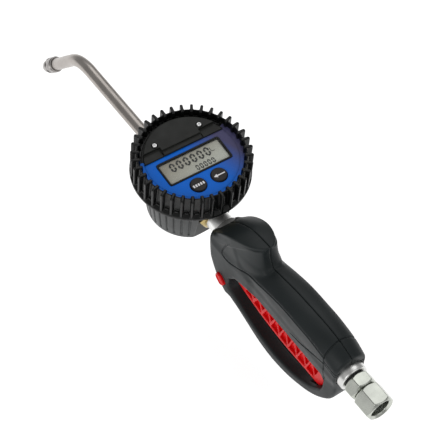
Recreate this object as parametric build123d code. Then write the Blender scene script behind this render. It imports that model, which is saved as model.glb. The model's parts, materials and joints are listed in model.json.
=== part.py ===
"""Metered oil control gun: a trigger handle with its valve, a digital flow meter and a bent spout.

Millimetres, +Z up out of the display. The origin is the middle of the mouth of the female thread
of the swivel nut. +X runs with the oil, from the hose end to the spout; +Y is the gun's left side.
"""
from build123d import *
import math
import os

os.makedirs("parts", exist_ok=True)

# ---------------------------------------------------------------- driving dimensions
# Hose end: swivel nut, stem and the collar that enters the handle
NUT_AF = 25.4
NUT_LENGTH = 22.0
THREAD_R = 9.32
THREAD_LENGTH = 11.0
UNDERCUT_R = 9.6
SHOULDER_X = 16.0
STEM_AF = 24.0
STEM_HEX = (25.0, 36.0)
STEM_BORE_R = 5.6
NECK_R = 7.5
RUN_GAP = 0.05
COLLAR_X = (38.0, 52.0)
COLLAR_R = 14.2

# Handle shells
HANDLE_X = (42.0, 229.0)
GUARD_HALF = 13.5
NOSE_HALF = 17.5
NECK_HALF = 12.5
CAP_HALF = 18.0
SIDE_FOOT_Z = -2.0
SKIRT_Z = -17.0
SKIRT_HALF = 11.0
SCREWS = [(53.0, -28.0), (112.0, 19.0), (133.0, -74.0), (212.0, -24.0), (206.0, 19.0)]
SCREW_R = 1.6
SCREW_HEAD_R = 3.2

# Valve inside the handle
TUBE_R = 9.0
TUBE_END_X = 152.0
BLOCK_R = 13.0
BLOCK_END_X = 226.0
VALVE_X = 176.0
VALVE_TOP_Z = 33.0
SEAT_Z = 2.0
VALVE_STEM_R = 3.0
PASSAGE_R = 4.0

# Trigger
PIVOT = (199.0, -25.0)
PIVOT_PIN_R = 2.5
TRIGGER_HALF = 8.0
LOCK = (203.5, -37.5)
LOCK_PIN_R = 2.6
LOCK_TRAVEL = 3.5

# Outlet fittings between handle and meter
OUTLET_COLLAR_R = 11.15
OUTLET_COLLAR_X = (226.0, 240.0)
ADAPTER_AF = 27.0
ADAPTER_X = (240.0, 248.0)

# Meter
METER_X = 281.0
BODY_BOTTOM_Z = -28.7
BODY_TOP_Z = 22.0
GROOVES = 36
PORT_FLAT_HALF = 17.5
CHAMBER_Z = (-12.0, 9.5)
GEAR_TEETH = 12
GEAR_MODULE = 2.0
GEAR_GAP = 0.1
GEAR_SHAFT_R = 3.0
GEAR_PITCH_R = GEAR_TEETH * GEAR_MODULE / 2
GEAR_Y = GEAR_PITCH_R + GEAR_GAP / 2
GEAR_TIP_R = GEAR_PITCH_R + 0.8 * GEAR_MODULE
GEAR_ROOT_R = GEAR_PITCH_R - 1.1 * GEAR_MODULE
PRESSURE = math.radians(25)
BACKLASH = 0.6
CHAMBER_COVER_R = 33.0
CHAMBER_SCREW_CIRCLE_R = 29.0
LABEL_Z = 43.4
LABEL_R = 43.0
DISPLAY_TURN = -3.2
BOOT_RIBS = 36
RIB_TIP_R = 54.9
RIB_THICK = 2.1
BOOT_TOP_Z = 51.4
BOOT_BOTTOM_Z = 22.5
BOOT_FLANGE_R = 55.0
BUTTON_X = -28.1
BUTTON_Y = 10.8
BUTTON_R = 7.7
LCD_X = -4.4
LCD_SIZE = (25.5, 65.1)
LCD_WALL = 2.2
COVER_Z = 48.0
COVER_EDGE_X = 18.5
COVER_SCREW = (25.3, 23.4)
CELL_R = 7.2
CELL_LENGTH = 20.0

# Spout
SPOUT_R = 5.9
SPOUT_BORE_R = 4.9
SPOUT_START_X = 318.0
BEND_VERTEX_X = 458.0
BEND_R = 38.0
BEND_ANGLE = 51.5
TIP_START = 61.5
TIP_R = 7.75
POPPET_STEM_R = 2.2
UNION_AF = 22.0
UNION_X = (323.0, 339.0)


# ---------------------------------------------------------------- helpers
def cyl_x(radius, x_from, x_to, y=0.0, z=0.0):
    """A round bar along X."""
    bar = Cylinder(radius, x_to - x_from, align=(Align.CENTER, Align.CENTER, Align.MIN))
    return Pos(x_from, y, z) * (Rot(0, 90, 0) * bar)


def cyl_y(radius, y_from, y_to, x, z):
    """A round bar along Y."""
    bar = Cylinder(radius, y_to - y_from, align=(Align.CENTER, Align.CENTER, Align.MIN))
    return Pos(x, y_from, z) * (Rot(-90, 0, 0) * bar)


def cyl_z(radius, z_from, z_to, x=0.0, y=0.0):
    """A round bar along Z."""
    bar = Cylinder(radius, z_to - z_from, align=(Align.CENTER, Align.CENTER, Align.MIN))
    return Pos(x, y, z_from) * bar


def hex_x(across_flats, x_from, x_to, chamfer_size=1.2):
    """A hexagon bar along X with both ends turned to a cone, as nuts are."""
    sketch = RegularPolygon(across_flats / 2, 6, major_radius=False, rotation=30)
    bar = Pos(x_from, 0, 0) * (Rot(0, 90, 0) * extrude(sketch, x_to - x_from))
    corner_r = across_flats / math.sqrt(3)
    length = x_to - x_from
    rise = corner_r - across_flats / 2 + 0.2
    profile = Polyline((0, 0), (0, corner_r - rise), (chamfer_size, corner_r + 0.01),
                       (length - chamfer_size, corner_r + 0.01), (length, corner_r - rise),
                       (length, 0), close=True)
    turned = revolve(make_face(profile), Axis.X)
    return bar & (Pos(x_from, 0, 0) * turned)


def box_between(low, high):
    """A box from its lowest to its highest corner."""
    size = [high[i] - low[i] for i in range(3)]
    centre = [(high[i] + low[i]) / 2 for i in range(3)]
    return Pos(*centre) * Box(*size)


def side_plate(outline, half_width):
    """An outline in the XZ plane, extruded to both sides of the centre plane."""
    return extrude(make_face(outline), amount=half_width, dir=(0, 1, 0), both=True)


def smooth(points):
    """A smooth curve in the XZ plane through (x, z) points."""
    return Spline(*[(x, 0, z) for x, z in points])


def straight(points):
    """Straight runs in the XZ plane through (x, z) points."""
    return Polyline(*[(x, 0, z) for x, z in points])


def turned_z(profile):
    """A turned piece about Z from its closed (r, z) half section."""
    return revolve(make_face(Polyline(*[(r, 0, z) for r, z in profile], close=True)), Axis.Z)


def spring(axis_place, radius, wire, length, turns):
    """A helical compression spring along the local Z of a placement."""
    path = Helix(pitch=(length - wire) / turns, height=length - wire, radius=radius)
    start = path @ 0
    section = Plane(origin=start, z_dir=path % 0) * Circle(wire / 2)
    coil = sweep(section, path=path)
    return axis_place * (Pos(0, 0, wire / 2) * coil)


def ring_z(outer, inner, z_from, z_to, x=0.0, y=0.0):
    """A flat ring about a vertical axis."""
    return cyl_z(outer, z_from, z_to, x, y) - cyl_z(inner, z_from, z_to, x, y)


def ring_x(outer, inner, x_from, x_to):
    """A flat ring about the X axis."""
    return cyl_x(outer, x_from, x_to) - cyl_x(inner, x_from, x_to)


def o_ring(place, radius, section):
    """A round-section seal ring about the local Z of a placement."""
    return place * Torus(radius, section)


def meter(shape):
    """Places a shape built about the meter's own vertical axis."""
    return Pos(METER_X, 0, 0) * shape


def display(shape):
    """Places a shape of the display, which sits slightly turned on the meter."""
    return Pos(METER_X, 0, 0) * (Rot(0, 0, DISPLAY_TURN) * shape)


# ---------------------------------------------------------------- hose end
def make_swivel_nut():
    nut = hex_x(NUT_AF, 0, NUT_LENGTH)
    nut -= cyl_x(THREAD_R, 0, THREAD_LENGTH)
    nut -= cyl_x(UNDERCUT_R, THREAD_LENGTH, SHOULDER_X)
    nut -= cyl_x(NECK_R + RUN_GAP, SHOULDER_X, NUT_LENGTH)
    return nut


def make_swivel_stem():
    stem = cyl_x(8.9, 12.0, SHOULDER_X - 0.3)
    stem += cyl_x(NECK_R, 12.0, STEM_HEX[0])
    stem += hex_x(STEM_AF, *STEM_HEX)
    stem += cyl_x(8.0, STEM_HEX[1], COLLAR_X[1])
    return stem - cyl_x(STEM_BORE_R, 12.0, COLLAR_X[1])


def make_inlet_strainer():
    """A thimble with slots that keeps grit out of the valve."""
    rim = ring_x(8.8, 4.2, 11.0, 12.0)
    basket = ring_x(5.0, 4.2, 12.0, 27.0) + cyl_x(5.0, 27.0, 28.0)
    strainer = rim + basket
    for turn in range(0, 180, 45):
        slot = box_between((14, -6, -0.5), (26, 6, 0.5))
        strainer -= Rot(turn, 0, 0) * slot
    return strainer


def make_inlet_collar():
    collar = ring_x(COLLAR_R, 8.0, *COLLAR_X)
    edges = collar.edges().filter_by(GeomType.CIRCLE).sort_by(Axis.X)
    outer = [e for e in edges if e.radius > COLLAR_R - 0.1 and e.center().X < COLLAR_X[0] + 1]
    return chamfer(outer, 0.8)


# ---------------------------------------------------------------- valve inside the handle
def valve_envelope():
    """Outside of the valve casting: inlet tube, main barrel and the upright bonnet."""
    body = cyl_x(TUBE_R, COLLAR_X[1], TUBE_END_X)
    body += cyl_x(BLOCK_R, TUBE_END_X, BLOCK_END_X)
    body += cyl_z(BLOCK_R, -BLOCK_R + 1, VALVE_TOP_Z - 5, VALVE_X)
    return body


def make_valve_body():
    body = valve_envelope()
    body -= cyl_x(5.5, COLLAR_X[1], 150.0)
    body -= cyl_x(PASSAGE_R, 148.0, VALVE_X, z=7.0)
    body -= cyl_z(5.5, -2.0, 9.5, 149.0)
    body -= cyl_z(9.0, SEAT_Z, VALVE_TOP_Z - 5, VALVE_X)
    body -= cyl_z(6.0, -7.0, SEAT_Z, VALVE_X)
    body -= cyl_z(5.0, -BLOCK_R, -7.0, VALVE_X)
    body -= cyl_x(PASSAGE_R, VALVE_X, 212.0, z=-2.0)
    body -= cyl_x(8.0, 212.0, BLOCK_END_X)
    return body


def make_valve_bonnet():
    """Screw plug that closes the top of the valve and holds the spring."""
    bonnet = cyl_z(9.0, VALVE_TOP_Z - 10, VALVE_TOP_Z - 5, VALVE_X)
    bonnet += cyl_z(12.0, VALVE_TOP_Z - 5, VALVE_TOP_Z - 1.5, VALVE_X)
    return bonnet - cyl_z(4.6, VALVE_TOP_Z - 10, VALVE_TOP_Z - 4, VALVE_X)


def make_valve_seat():
    return ring_z(8.9, 4.6, SEAT_Z, SEAT_Z + 2.0, VALVE_X)


def make_valve_stem():
    """Poppet and push rod in one; its domed foot stands just above the trigger."""
    foot_z = PIVOT[1] + 7.15
    rod = cyl_z(VALVE_STEM_R, foot_z + 1, SEAT_Z + 4, VALVE_X)
    dome = Pos(VALVE_X, 0, foot_z + 6) * Sphere(6.0)
    rod += dome & cyl_z(VALVE_STEM_R, foot_z - 1, foot_z + 2, VALVE_X)
    rod += cyl_z(6.6, SEAT_Z + 2.02, SEAT_Z + 5, VALVE_X)
    rod += cyl_z(VALVE_STEM_R, SEAT_Z + 5, SEAT_Z + 14, VALVE_X)
    return rod


def make_stem_gland():
    return ring_z(5.0, VALVE_STEM_R + RUN_GAP, -13.0, -7.0, VALVE_X)


def make_valve_spring():
    length = VALVE_TOP_Z - 10 - (SEAT_Z + 5.6)
    return spring(Pos(VALVE_X, 0, SEAT_Z + 5.3), 5.6, 1.2, length, 5)


# ---------------------------------------------------------------- handle shells
def guard_plate():
    """The closed loop below the trigger, as one plate with its window cut out."""
    outer = smooth([(43, -22), (50, -40), (63, -54.5), (76, -64.5), (89, -71.5), (103, -77), (118, -80),
                    (133, -80.5), (148, -78), (164, -72.5), (180, -65), (197, -54), (208, -44.5),
                    (216, -34), (222, -22)])
    closing = straight([(222, -22), (222, 0), (43, 0), (43, -22)])
    return side_plate([outer, closing], GUARD_HALF)


def window_plate(half_width):
    """The finger opening of the guard, from the shells' lower lip to the guard's inner face."""
    lower = smooth([(63, -40), (69.5, -47), (77, -53.5), (90.5, -61.5), (104, -66.5), (119, -69),
                    (134, -69), (149.5, -66.5), (165, -62.5), (181, -55), (192, -45), (194.5, -36)])
    rest = straight([(194.5, -36), (194, -27), (186, -20), (170, SKIRT_Z), (66, SKIRT_Z), (61, -22),
                     (61, -34), (63, -40)])
    return side_plate([lower, rest], half_width)


def grip_section(x, top, ridge, half):
    """One section of the palm: an arched roof, upright sides and a skirt that leans in below."""
    roof = ThreePointArc((x, half, ridge), (x, 0, top), (x, -half, ridge))
    walls = Polyline((x, -half, ridge), (x, -half, SIDE_FOOT_Z), (x, -SKIRT_HALF, SKIRT_Z),
                     (x, SKIRT_HALF, SKIRT_Z), (x, half, SIDE_FOOT_Z), (x, half, ridge))
    return make_face([roof, walls])


def grip_body():
    """The palm of the handle, lofted through sections along X."""
    stations = [(HANDLE_X[0], 21.8, 6.0, 18.0), (63.0, 27.8, 17.5, 17.9), (84.0, 29.1, 20.8, 18.0),
                (105.0, 28.4, 21.1, 18.0), (126.0, 26.8, 20.0, 17.9), (148.0, 23.2, 15.5, 17.6),
                (172.0, 18.5, 9.0, 17.4)]
    return loft([grip_section(*station) for station in stations])


def nose_body():
    """The block that joins grip, guard and outlet."""
    front = smooth([(197, -53), (208, -44), (216, -34), (222, -24), (227, -12), (229, -2), (227.5, 6),
                    (222, 12)])
    rest = straight([(222, 12), (206, 27), (172, 27), (160, 21), (160, -14), (186, -16), (197, -53)])
    return side_plate([front, rest], NOSE_HALF)


def hump_body():
    """The thumb rest: a narrower neck under a wider domed cap."""
    rear = smooth([(153.5, 20), (157.8, 24), (160.8, 30), (162.8, 36.7), (164.0, 42)])
    neck = side_plate([rear, straight([(164.0, 42), (200, 34), (222, 8), (222, 0), (153.5, 0),
                                       (153.5, 20)])], NECK_HALF)
    top = smooth([(163.4, 45.2), (172, 44.4), (182, 43.2), (192, 40), (202, 34), (212, 25.5),
                  (221, 14), (226, 5)])
    under = smooth([(222, 5), (214, 14), (205, 22), (195, 29.5), (184, 36), (174, 39.6), (162.6, 40.6)])
    ends = [straight([(226, 5), (222, 5)]), straight([(162.6, 40.6), (163.4, 45.2)])]
    cap_plate = side_plate([top, under] + ends, CAP_HALF)
    oval = Pos(199, 0, 0) * (Ellipse(36.5, CAP_HALF))
    return neck + (cap_plate & extrude(oval, 60))


def handle_outside():
    shell = grip_body() + nose_body() + guard_plate() + hump_body()
    return shell - window_plate(40.0)


def handle_cavities():
    """Everything that the shells are hollow for."""
    cavity = valve_envelope()
    cavity += cyl_x(COLLAR_R, HANDLE_X[0] - 1, COLLAR_X[1])
    cavity += cyl_x(OUTLET_COLLAR_R, BLOCK_END_X - 2, HANDLE_X[1] + 2)
    cavity += cyl_z(12.0, VALVE_TOP_Z - 5, VALVE_TOP_Z - 1.5, VALVE_X)
    cavity += cyl_z(6.0, PIVOT[1] + 4, -10, VALVE_X)
    half = TRIGGER_HALF + 0.5
    cavity += side_plate(straight([(61.5, -8.9), (190, -8.9), (207, -17), (207, -31), (199, -38),
                                   (186, -42), (100, -45), (80, -56), (68, -54.5), (61.5, -45),
                                   (61.5, -8.9)]), half)
    cavity += cyl_y(4.8, -half - 2.2, -half + 1, *PIVOT)
    cavity += cyl_y(PIVOT_PIN_R, -13, 13, *PIVOT)
    cavity += cyl_y(LOCK_PIN_R + RUN_GAP, -40, 40, *LOCK)
    cavity += lock_head(0.3, NOSE_HALF - 3.2 - LOCK_TRAVEL, 30.0)
    return cavity


def lock_head(grow, y_from, y_to):
    """The rounded oblong of the lock button, grown by a clearance."""
    along = SlotOverall(13.0 + 2 * grow, 9.0 + 2 * grow, rotation=-35)
    face = Plane(origin=(LOCK[0], y_from, LOCK[1]), x_dir=(1, 0, 0), z_dir=(0, 1, 0)) * along
    return extrude(face, y_to - y_from)


def screw_seat(x):
    """How far a screw head's seat in the right-hand shell stands from the centre plane."""
    return 10.0 if x > 200 else 8.5


def make_covers():
    """The two shells, split on the centre plane, with the screw bosses left solid."""
    outside = handle_outside()
    cavity = handle_cavities()
    shells = outside - cavity
    for x, z in SCREWS:
        seat = screw_seat(x)
        shells -= cyl_y(SCREW_R, -seat, 8.0, x, z)
        shells -= cyl_y(SCREW_HEAD_R, -60, -seat, x, z)
    left = shells & box_between((0, 0, -120), (300, 60, 120))
    right = shells & box_between((0, -60, -120), (300, 0, 120))
    return left, right


def make_handle_screws():
    screws = []
    for x, z in SCREWS:
        seat = screw_seat(x)
        screw = cyl_y(SCREW_R, -seat, 8.0, x, z)
        screw += cyl_y(SCREW_HEAD_R - 0.1, -seat - 2.2, -seat, x, z)
        screw -= cyl_y(1.3, -seat - 3, -seat - 1.0, x, z)
        screws.append(screw)
    return Compound(children=screws)


# ---------------------------------------------------------------- trigger and lock
def trigger_outline():
    lower = smooth([(199, -36), (190, -39.5), (175, -43.5), (150, -48.5), (120, -51), (90, -50.5),
                    (72, -50.5), (66.5, -46), (64.5, -38)])
    upper = straight([(64.5, -38), (63.5, -24), (140, -22), (164, -18), (182, -18), (190, -17),
                      (199, -17), (205, -22), (205, -29), (199, -36)])
    return [lower, upper]


def make_trigger():
    trigger = side_plate(trigger_outline(), TRIGGER_HALF)
    trigger &= side_plate(straight([(60, -60), (60, -10), (198, -10), (204.8, -20), (204.8, -28.5),
                                    (198, -36.5), (180, -60), (60, -60)]), TRIGGER_HALF)
    web = 3.0
    pocket_top = -26.0
    step = 13.0
    rib = 1.1
    for k in range(8):
        left_x = 71.0 + k * step
        floor_z = -46.0 if left_x < 150 else -41.5
        up = [(left_x + rib, pocket_top), (left_x + step - rib, pocket_top),
              (left_x + step / 2, floor_z + 4)]
        down = [(left_x + step / 2 + rib, floor_z), (left_x + 1.5 * step - rib, floor_z),
                (left_x + step, pocket_top - 4)]
        for corners in (up, down):
            prism = side_plate(straight(corners + [corners[0]]), TRIGGER_HALF + 1)
            prism -= box_between((0, -web, -100), (300, web, 100))
            trigger -= prism
    trigger -= cyl_y(PIVOT_PIN_R + RUN_GAP, -20, 20, *PIVOT)
    return trigger


def make_trigger_spring():
    """Torsion spring drawn as its coil round the pivot pin."""
    coil = cyl_y(4.6, -TRIGGER_HALF - 2.4, -TRIGGER_HALF - 0.6, *PIVOT)
    return coil - cyl_y(PIVOT_PIN_R, -20, 20, *PIVOT)


def make_lock_button():
    button = lock_head(0.0, NOSE_HALF - 3.0, NOSE_HALF + 3.6)
    top_edges = button.faces().sort_by(Axis.Y)[-1].edges()
    button = fillet(top_edges, 1.4)
    return button + cyl_y(LOCK_PIN_R, -NOSE_HALF + 5, NOSE_HALF - 3, *LOCK)


# ---------------------------------------------------------------- fittings to the meter
def make_outlet_collar():
    collar = cyl_x(OUTLET_COLLAR_R, *OUTLET_COLLAR_X) + cyl_x(8.0, 212.0, OUTLET_COLLAR_X[0])
    collar -= cyl_x(5.5, 212.0, 230.0)
    return collar - cyl_x(7.0, 230.0, OUTLET_COLLAR_X[1])


def make_port_adapter():
    adapter = hex_x(ADAPTER_AF, *ADAPTER_X)
    adapter += cyl_x(7.0, 230.0, ADAPTER_X[0]) + cyl_x(8.5, ADAPTER_X[1], 258.0)
    return adapter - cyl_x(4.5, 230.0, 258.0)


# ---------------------------------------------------------------- meter
def gear_sketch(phase):
    """Involute teeth about the origin; phase turns them by that many degrees."""
    base_r = GEAR_PITCH_R * math.cos(PRESSURE)
    half_pitch = math.pi / (2 * GEAR_TEETH) - BACKLASH / (2 * GEAR_PITCH_R)

    def flank(radius):
        angle = math.acos(min(1.0, base_r / radius))
        return half_pitch + (math.tan(PRESSURE) - PRESSURE) - (math.tan(angle) - angle)

    radii = [base_r + (GEAR_TIP_R - base_r) * k / 4 for k in range(5)]
    points = []
    for tooth in range(GEAR_TEETH):
        middle = math.radians(phase) + 2 * math.pi * tooth / GEAR_TEETH
        side = [(GEAR_ROOT_R, flank(base_r))] + [(r, flank(r)) for r in radii]
        for r, half in side:
            points.append((r * math.cos(middle - half), r * math.sin(middle - half)))
        for r, half in reversed(side):
            points.append((r * math.cos(middle + half), r * math.sin(middle + half)))
    return make_face(Polyline(*points, close=True))


def make_metering_gear(side):
    phase = 0.0 if side > 0 else 180.0 / GEAR_TEETH
    low, high = CHAMBER_Z
    gear = Pos(METER_X, side * GEAR_Y, low + 0.1) * extrude(gear_sketch(phase), high - low - 0.2)
    gear -= cyl_z(GEAR_SHAFT_R + RUN_GAP, low, high, METER_X, side * GEAR_Y)
    if side > 0:
        for turn in (0, 180):
            x = METER_X + 6.5 * math.cos(math.radians(turn))
            gear -= cyl_z(1.5, high - 3.1, high, x, side * GEAR_Y)
    return gear


def make_gear_magnets():
    magnets = []
    for turn in (0, 180):
        x = METER_X + 6.5 * math.cos(math.radians(turn))
        magnets.append(cyl_z(1.5, CHAMBER_Z[1] - 3.1, CHAMBER_Z[1] - 0.2, x, GEAR_Y))
    return Compound(children=magnets)


def make_gear_shafts():
    low, high = CHAMBER_Z
    shafts = [cyl_z(GEAR_SHAFT_R, low - 4, high + 3, METER_X, side * GEAR_Y) for side in (1, -1)]
    return Compound(children=shafts)


def body_profile():
    """Half section of the lower housing, from its rounded foot to the rim under the boot."""
    return [(0, BODY_BOTTOM_Z), (33.0, BODY_BOTTOM_Z), (36.4, BODY_BOTTOM_Z + 1.0),
            (38.4, BODY_BOTTOM_Z + 3.6), (40.2, -14.0), (42.0, 0.0), (43.2, 14.0), (43.4, BODY_TOP_Z),
            (0, BODY_TOP_Z)]


def make_meter_body():
    body = meter(turned_z(body_profile()))
    for k in range(GROOVES):
        angle = (k + 0.5) * 360 / GROOVES
        if abs((angle + 180) % 360 - 180) < 24 or abs(angle - 180) < 30:
            continue
        groove = box_between((36.0, -1.3, -21.0), (60.0, 1.3, 21.0))
        body -= meter(Rot(0, 0, angle) * (Pos(5.1, 0, 0) * (Rot(0, 6.1, 0) * groove)))
    body -= box_between((METER_X - 60, -PORT_FLAT_HALF, -40), (ADAPTER_X[1], PORT_FLAT_HALF, 17))
    body -= box_between((UNION_X[0], -PORT_FLAT_HALF, -40), (METER_X + 60, PORT_FLAT_HALF, 17))
    body += cyl_x(13.5, METER_X + 20, UNION_X[0])
    low, high = CHAMBER_Z
    for side in (1, -1):
        body -= cyl_z(GEAR_TIP_R + 0.3, low, high, METER_X, side * GEAR_Y)
        body -= cyl_z(GEAR_SHAFT_R, low - 4, low, METER_X, side * GEAR_Y)
    body -= cyl_z(CHAMBER_COVER_R, high, BODY_TOP_Z, METER_X)
    body -= cyl_x(8.5, ADAPTER_X[1] - 1, 258.0) + cyl_x(4.5, 257.0, UNION_X[1])
    body -= cyl_x(6.6, SPOUT_START_X - 2.0, UNION_X[1])
    for x, y in circle_points(CHAMBER_SCREW_CIRCLE_R, 6, 30):
        body -= cyl_z(1.6, high - 9, high, x, y)
    return body


def circle_points(radius, count, phase=0.0):
    """Points on a circle about the meter's axis."""
    step = 360 / count
    angles = [math.radians(phase + k * step) for k in range(count)]
    return [(METER_X + radius * math.cos(a), radius * math.sin(a)) for a in angles]


def make_chamber_cover():
    high = CHAMBER_Z[1]
    cover = cyl_z(CHAMBER_COVER_R - 0.1, high, high + 7, METER_X)
    for side in (1, -1):
        cover -= cyl_z(GEAR_SHAFT_R, high, high + 3, METER_X, side * GEAR_Y)
    cover -= ring_z(26.2, 24.4, high, high + 1.6, METER_X)
    for x, y in circle_points(CHAMBER_SCREW_CIRCLE_R, 6, 30):
        cover -= cyl_z(1.6, high, high + 7, x, y)
        cover -= cyl_z(3.0, high + 3.5, high + 7, x, y)
    return cover


def make_chamber_screws():
    high = CHAMBER_Z[1]
    screws = []
    for x, y in circle_points(CHAMBER_SCREW_CIRCLE_R, 6, 30):
        shank = cyl_z(1.6, high - 9, high + 3.5, x, y)
        screws.append(shank + cyl_z(2.9, high + 3.5, high + 6.5, x, y))
    return Compound(children=screws)


def make_chamber_seal():
    return ring_z(26.1, 24.5, CHAMBER_Z[1], CHAMBER_Z[1] + 1.5, METER_X)


def make_display_housing():
    """Open tub inside the boot: it carries the board, display, buttons and battery."""
    rim_z = LABEL_Z - 1.2
    tub = cyl_z(42.6, BODY_TOP_Z, rim_z) - cyl_z(40.4, BODY_TOP_Z + 2, rim_z)
    tub += ring_z(44.6, 42.6, BODY_TOP_Z + 1, rim_z)
    bay = box_between((COVER_EDGE_X - 1, -31, BODY_TOP_Z + 2), (COVER_EDGE_X + 1, 31, rim_z))
    return meter(tub) + display(bay)


def label_disc(z_from, z_to, radius, edge_x):
    """A disc cut off along the battery cover's edge."""
    disc = cyl_z(radius, z_from, z_to)
    return disc & box_between((-60, -60, z_from), (edge_x, 60, z_to))


def lcd_block(inset, z_from, z_to):
    """A block the size of the display's opening, drawn in by an inset on all four sides."""
    half_x, half_y = LCD_SIZE[0] / 2 - inset, LCD_SIZE[1] / 2 - inset
    return box_between((LCD_X - half_x, -half_y, z_from), (LCD_X + half_x, half_y, z_to))


def make_label_plate():
    plate = label_disc(LABEL_Z - 1.2, LABEL_Z, LABEL_R, COVER_EDGE_X)
    plate -= lcd_block(0.0, 30, 50)
    for side in (1, -1):
        plate -= cyl_z(BUTTON_R + 0.3, 30, 50, BUTTON_X, side * BUTTON_Y)
    return display(plate)


def make_lcd_bezel():
    return display(lcd_block(0.0, LABEL_Z - 4, LABEL_Z + 0.5) - lcd_block(LCD_WALL, 0, 60))


def make_lcd_module():
    return display(lcd_block(LCD_WALL, LABEL_Z - 4, LABEL_Z - 1.4))


def make_lcd_window():
    return display(lcd_block(LCD_WALL, LABEL_Z - 1.4, LABEL_Z + 0.2))


def make_button(side):
    cap = cyl_z(BUTTON_R, LABEL_Z - 3, LABEL_Z + 1.6, BUTTON_X, side * BUTTON_Y)
    cap = fillet(cap.edges().sort_by(Axis.Z)[-1], 1.0)
    cap += cyl_z(2.0, LABEL_Z - 6.5, LABEL_Z - 3, BUTTON_X, side * BUTTON_Y)
    return display(cap)


def make_circuit_board():
    board = cyl_z(39.0, 33.0, 34.6) & box_between((-60, -60, 30), (COVER_EDGE_X - 1.5, 60, 40))
    return display(board)


def make_battery():
    """Two round cells end to end along Y under the cover."""
    x, z = COVER_EDGE_X + 9.5, 32.0
    left = cyl_y(CELL_R, 0.4, 0.4 + CELL_LENGTH, x, z)
    right = cyl_y(CELL_R, -0.4 - CELL_LENGTH, -0.4, x, z)
    return display(Compound(children=[left, right]))


def make_battery_cover():
    """The raised segment beyond the label, with a step towards the label."""
    cover = cyl_z(LABEL_R, LABEL_Z - 1.2, COVER_Z) & box_between((COVER_EDGE_X, -60, 0), (60, 60, 60))
    room = box_between((COVER_EDGE_X + 2, -34, 0), (60, 34, 60))
    cover -= cyl_z(LABEL_R - 3, LABEL_Z - 2, COVER_Z - 2) & room
    for side in (1, -1):
        cover -= cyl_z(1.6, 0, 60, COVER_SCREW[0], side * COVER_SCREW[1])
    for y_from, y_to in ((26, 60), (-60, -26)):
        cover -= box_between((COVER_EDGE_X - 1, y_from, COVER_Z - 2.4), (COVER_EDGE_X + 4, y_to, 60))
    return display(cover)


def make_battery_cover_screws():
    screws = []
    for side in (1, -1):
        screw = cyl_z(1.6, LABEL_Z - 6, COVER_Z, COVER_SCREW[0], side * COVER_SCREW[1])
        screw += cyl_z(2.6, COVER_Z, COVER_Z + 1.3, COVER_SCREW[0], side * COVER_SCREW[1])
        screws.append(screw)
    return display(Compound(children=screws))


def make_rubber_boot():
    """Rubber ring round the display: a core, a flange and ribs like a tyre's."""
    core = [(44.7, BOOT_BOTTOM_Z), (53.8, BOOT_BOTTOM_Z + 0.4), (BOOT_FLANGE_R, BOOT_BOTTOM_Z + 2.0),
            (BOOT_FLANGE_R, BOOT_BOTTOM_Z + 4.3), (50.4, BOOT_BOTTOM_Z + 7.5), (49.4, BOOT_TOP_Z - 5.5),
            (49.2, BOOT_TOP_Z - 1.6), (48.4, BOOT_TOP_Z - 2.0), (47.6, BOOT_TOP_Z - 4.8),
            (44.7, BOOT_TOP_Z - 6.5)]
    boot = turned_z(core)
    rib_profile = [(46.4, BOOT_TOP_Z - 5.4), (46.6, BOOT_TOP_Z - 1.0), (47.3, BOOT_TOP_Z - 0.2),
                   (53.6, BOOT_TOP_Z), (RIB_TIP_R, BOOT_TOP_Z - 1.0), (RIB_TIP_R, BOOT_TOP_Z - 4.5),
                   (RIB_TIP_R - 0.5, BOOT_BOTTOM_Z + 3), (47.5, BOOT_BOTTOM_Z + 3)]
    blank = extrude(make_face(Polyline(*[(r, 0, z) for r, z in rib_profile], close=True)),
                    amount=RIB_THICK / 2, dir=(0, 1, 0), both=True)
    ribs = [Rot(0, 0, (k + 0.5) * 360 / BOOT_RIBS) * blank for k in range(BOOT_RIBS)]
    return meter(boot + ribs)


# ---------------------------------------------------------------- spout
def bend_frame():
    """Unit vector of the spout beyond the bend, and the bend's vertex."""
    angle = math.radians(BEND_ANGLE)
    return Vector(math.cos(angle), 0, -math.sin(angle)), Vector(BEND_VERTEX_X, 0, 0)


def tip_place(distance):
    """A placement on the spout's axis beyond the bend, local Z along the flow."""
    along, vertex = bend_frame()
    return Location(Plane(origin=vertex + along * distance, x_dir=(0, 1, 0), z_dir=along))


def make_spout_tube():
    along, vertex = bend_frame()
    end = vertex + along * (TIP_START + 10)
    path = FilletPolyline((SPOUT_START_X, 0, 0), tuple(vertex), tuple(end), radius=BEND_R)
    wall = Circle(SPOUT_R) - Circle(SPOUT_BORE_R)
    return sweep(Plane(origin=(SPOUT_START_X, 0, 0), z_dir=(1, 0, 0)) * wall, path=path)


def make_union_nut():
    nut = hex_x(UNION_AF, *UNION_X)
    return nut - cyl_x(SPOUT_R, *UNION_X)


def make_ferrule():
    return ring_x(6.6, SPOUT_R, SPOUT_START_X, UNION_X[0])


def make_tip_body():
    """Socket that is fixed on the tube and guides the twist sleeve."""
    profile = [(SPOUT_R, 0), (6.9, 0), (6.9, 2.4), (TIP_R, 3.0), (TIP_R, 6.0), (6.6, 6.2), (6.6, 14.0),
               (6.2, 14.4), (POPPET_STEM_R + RUN_GAP, 14.4), (POPPET_STEM_R + RUN_GAP, 12.0),
               (4.6, 12.0), (4.6, 10.0), (SPOUT_R, 10.0)]
    body = turned_z(profile)
    for turn in (0, 120, 240):
        body -= Rot(0, 0, turn) * cyl_z(1.1, 11.0, 15.0, 3.9)
    return tip_place(TIP_START) * body


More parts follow.
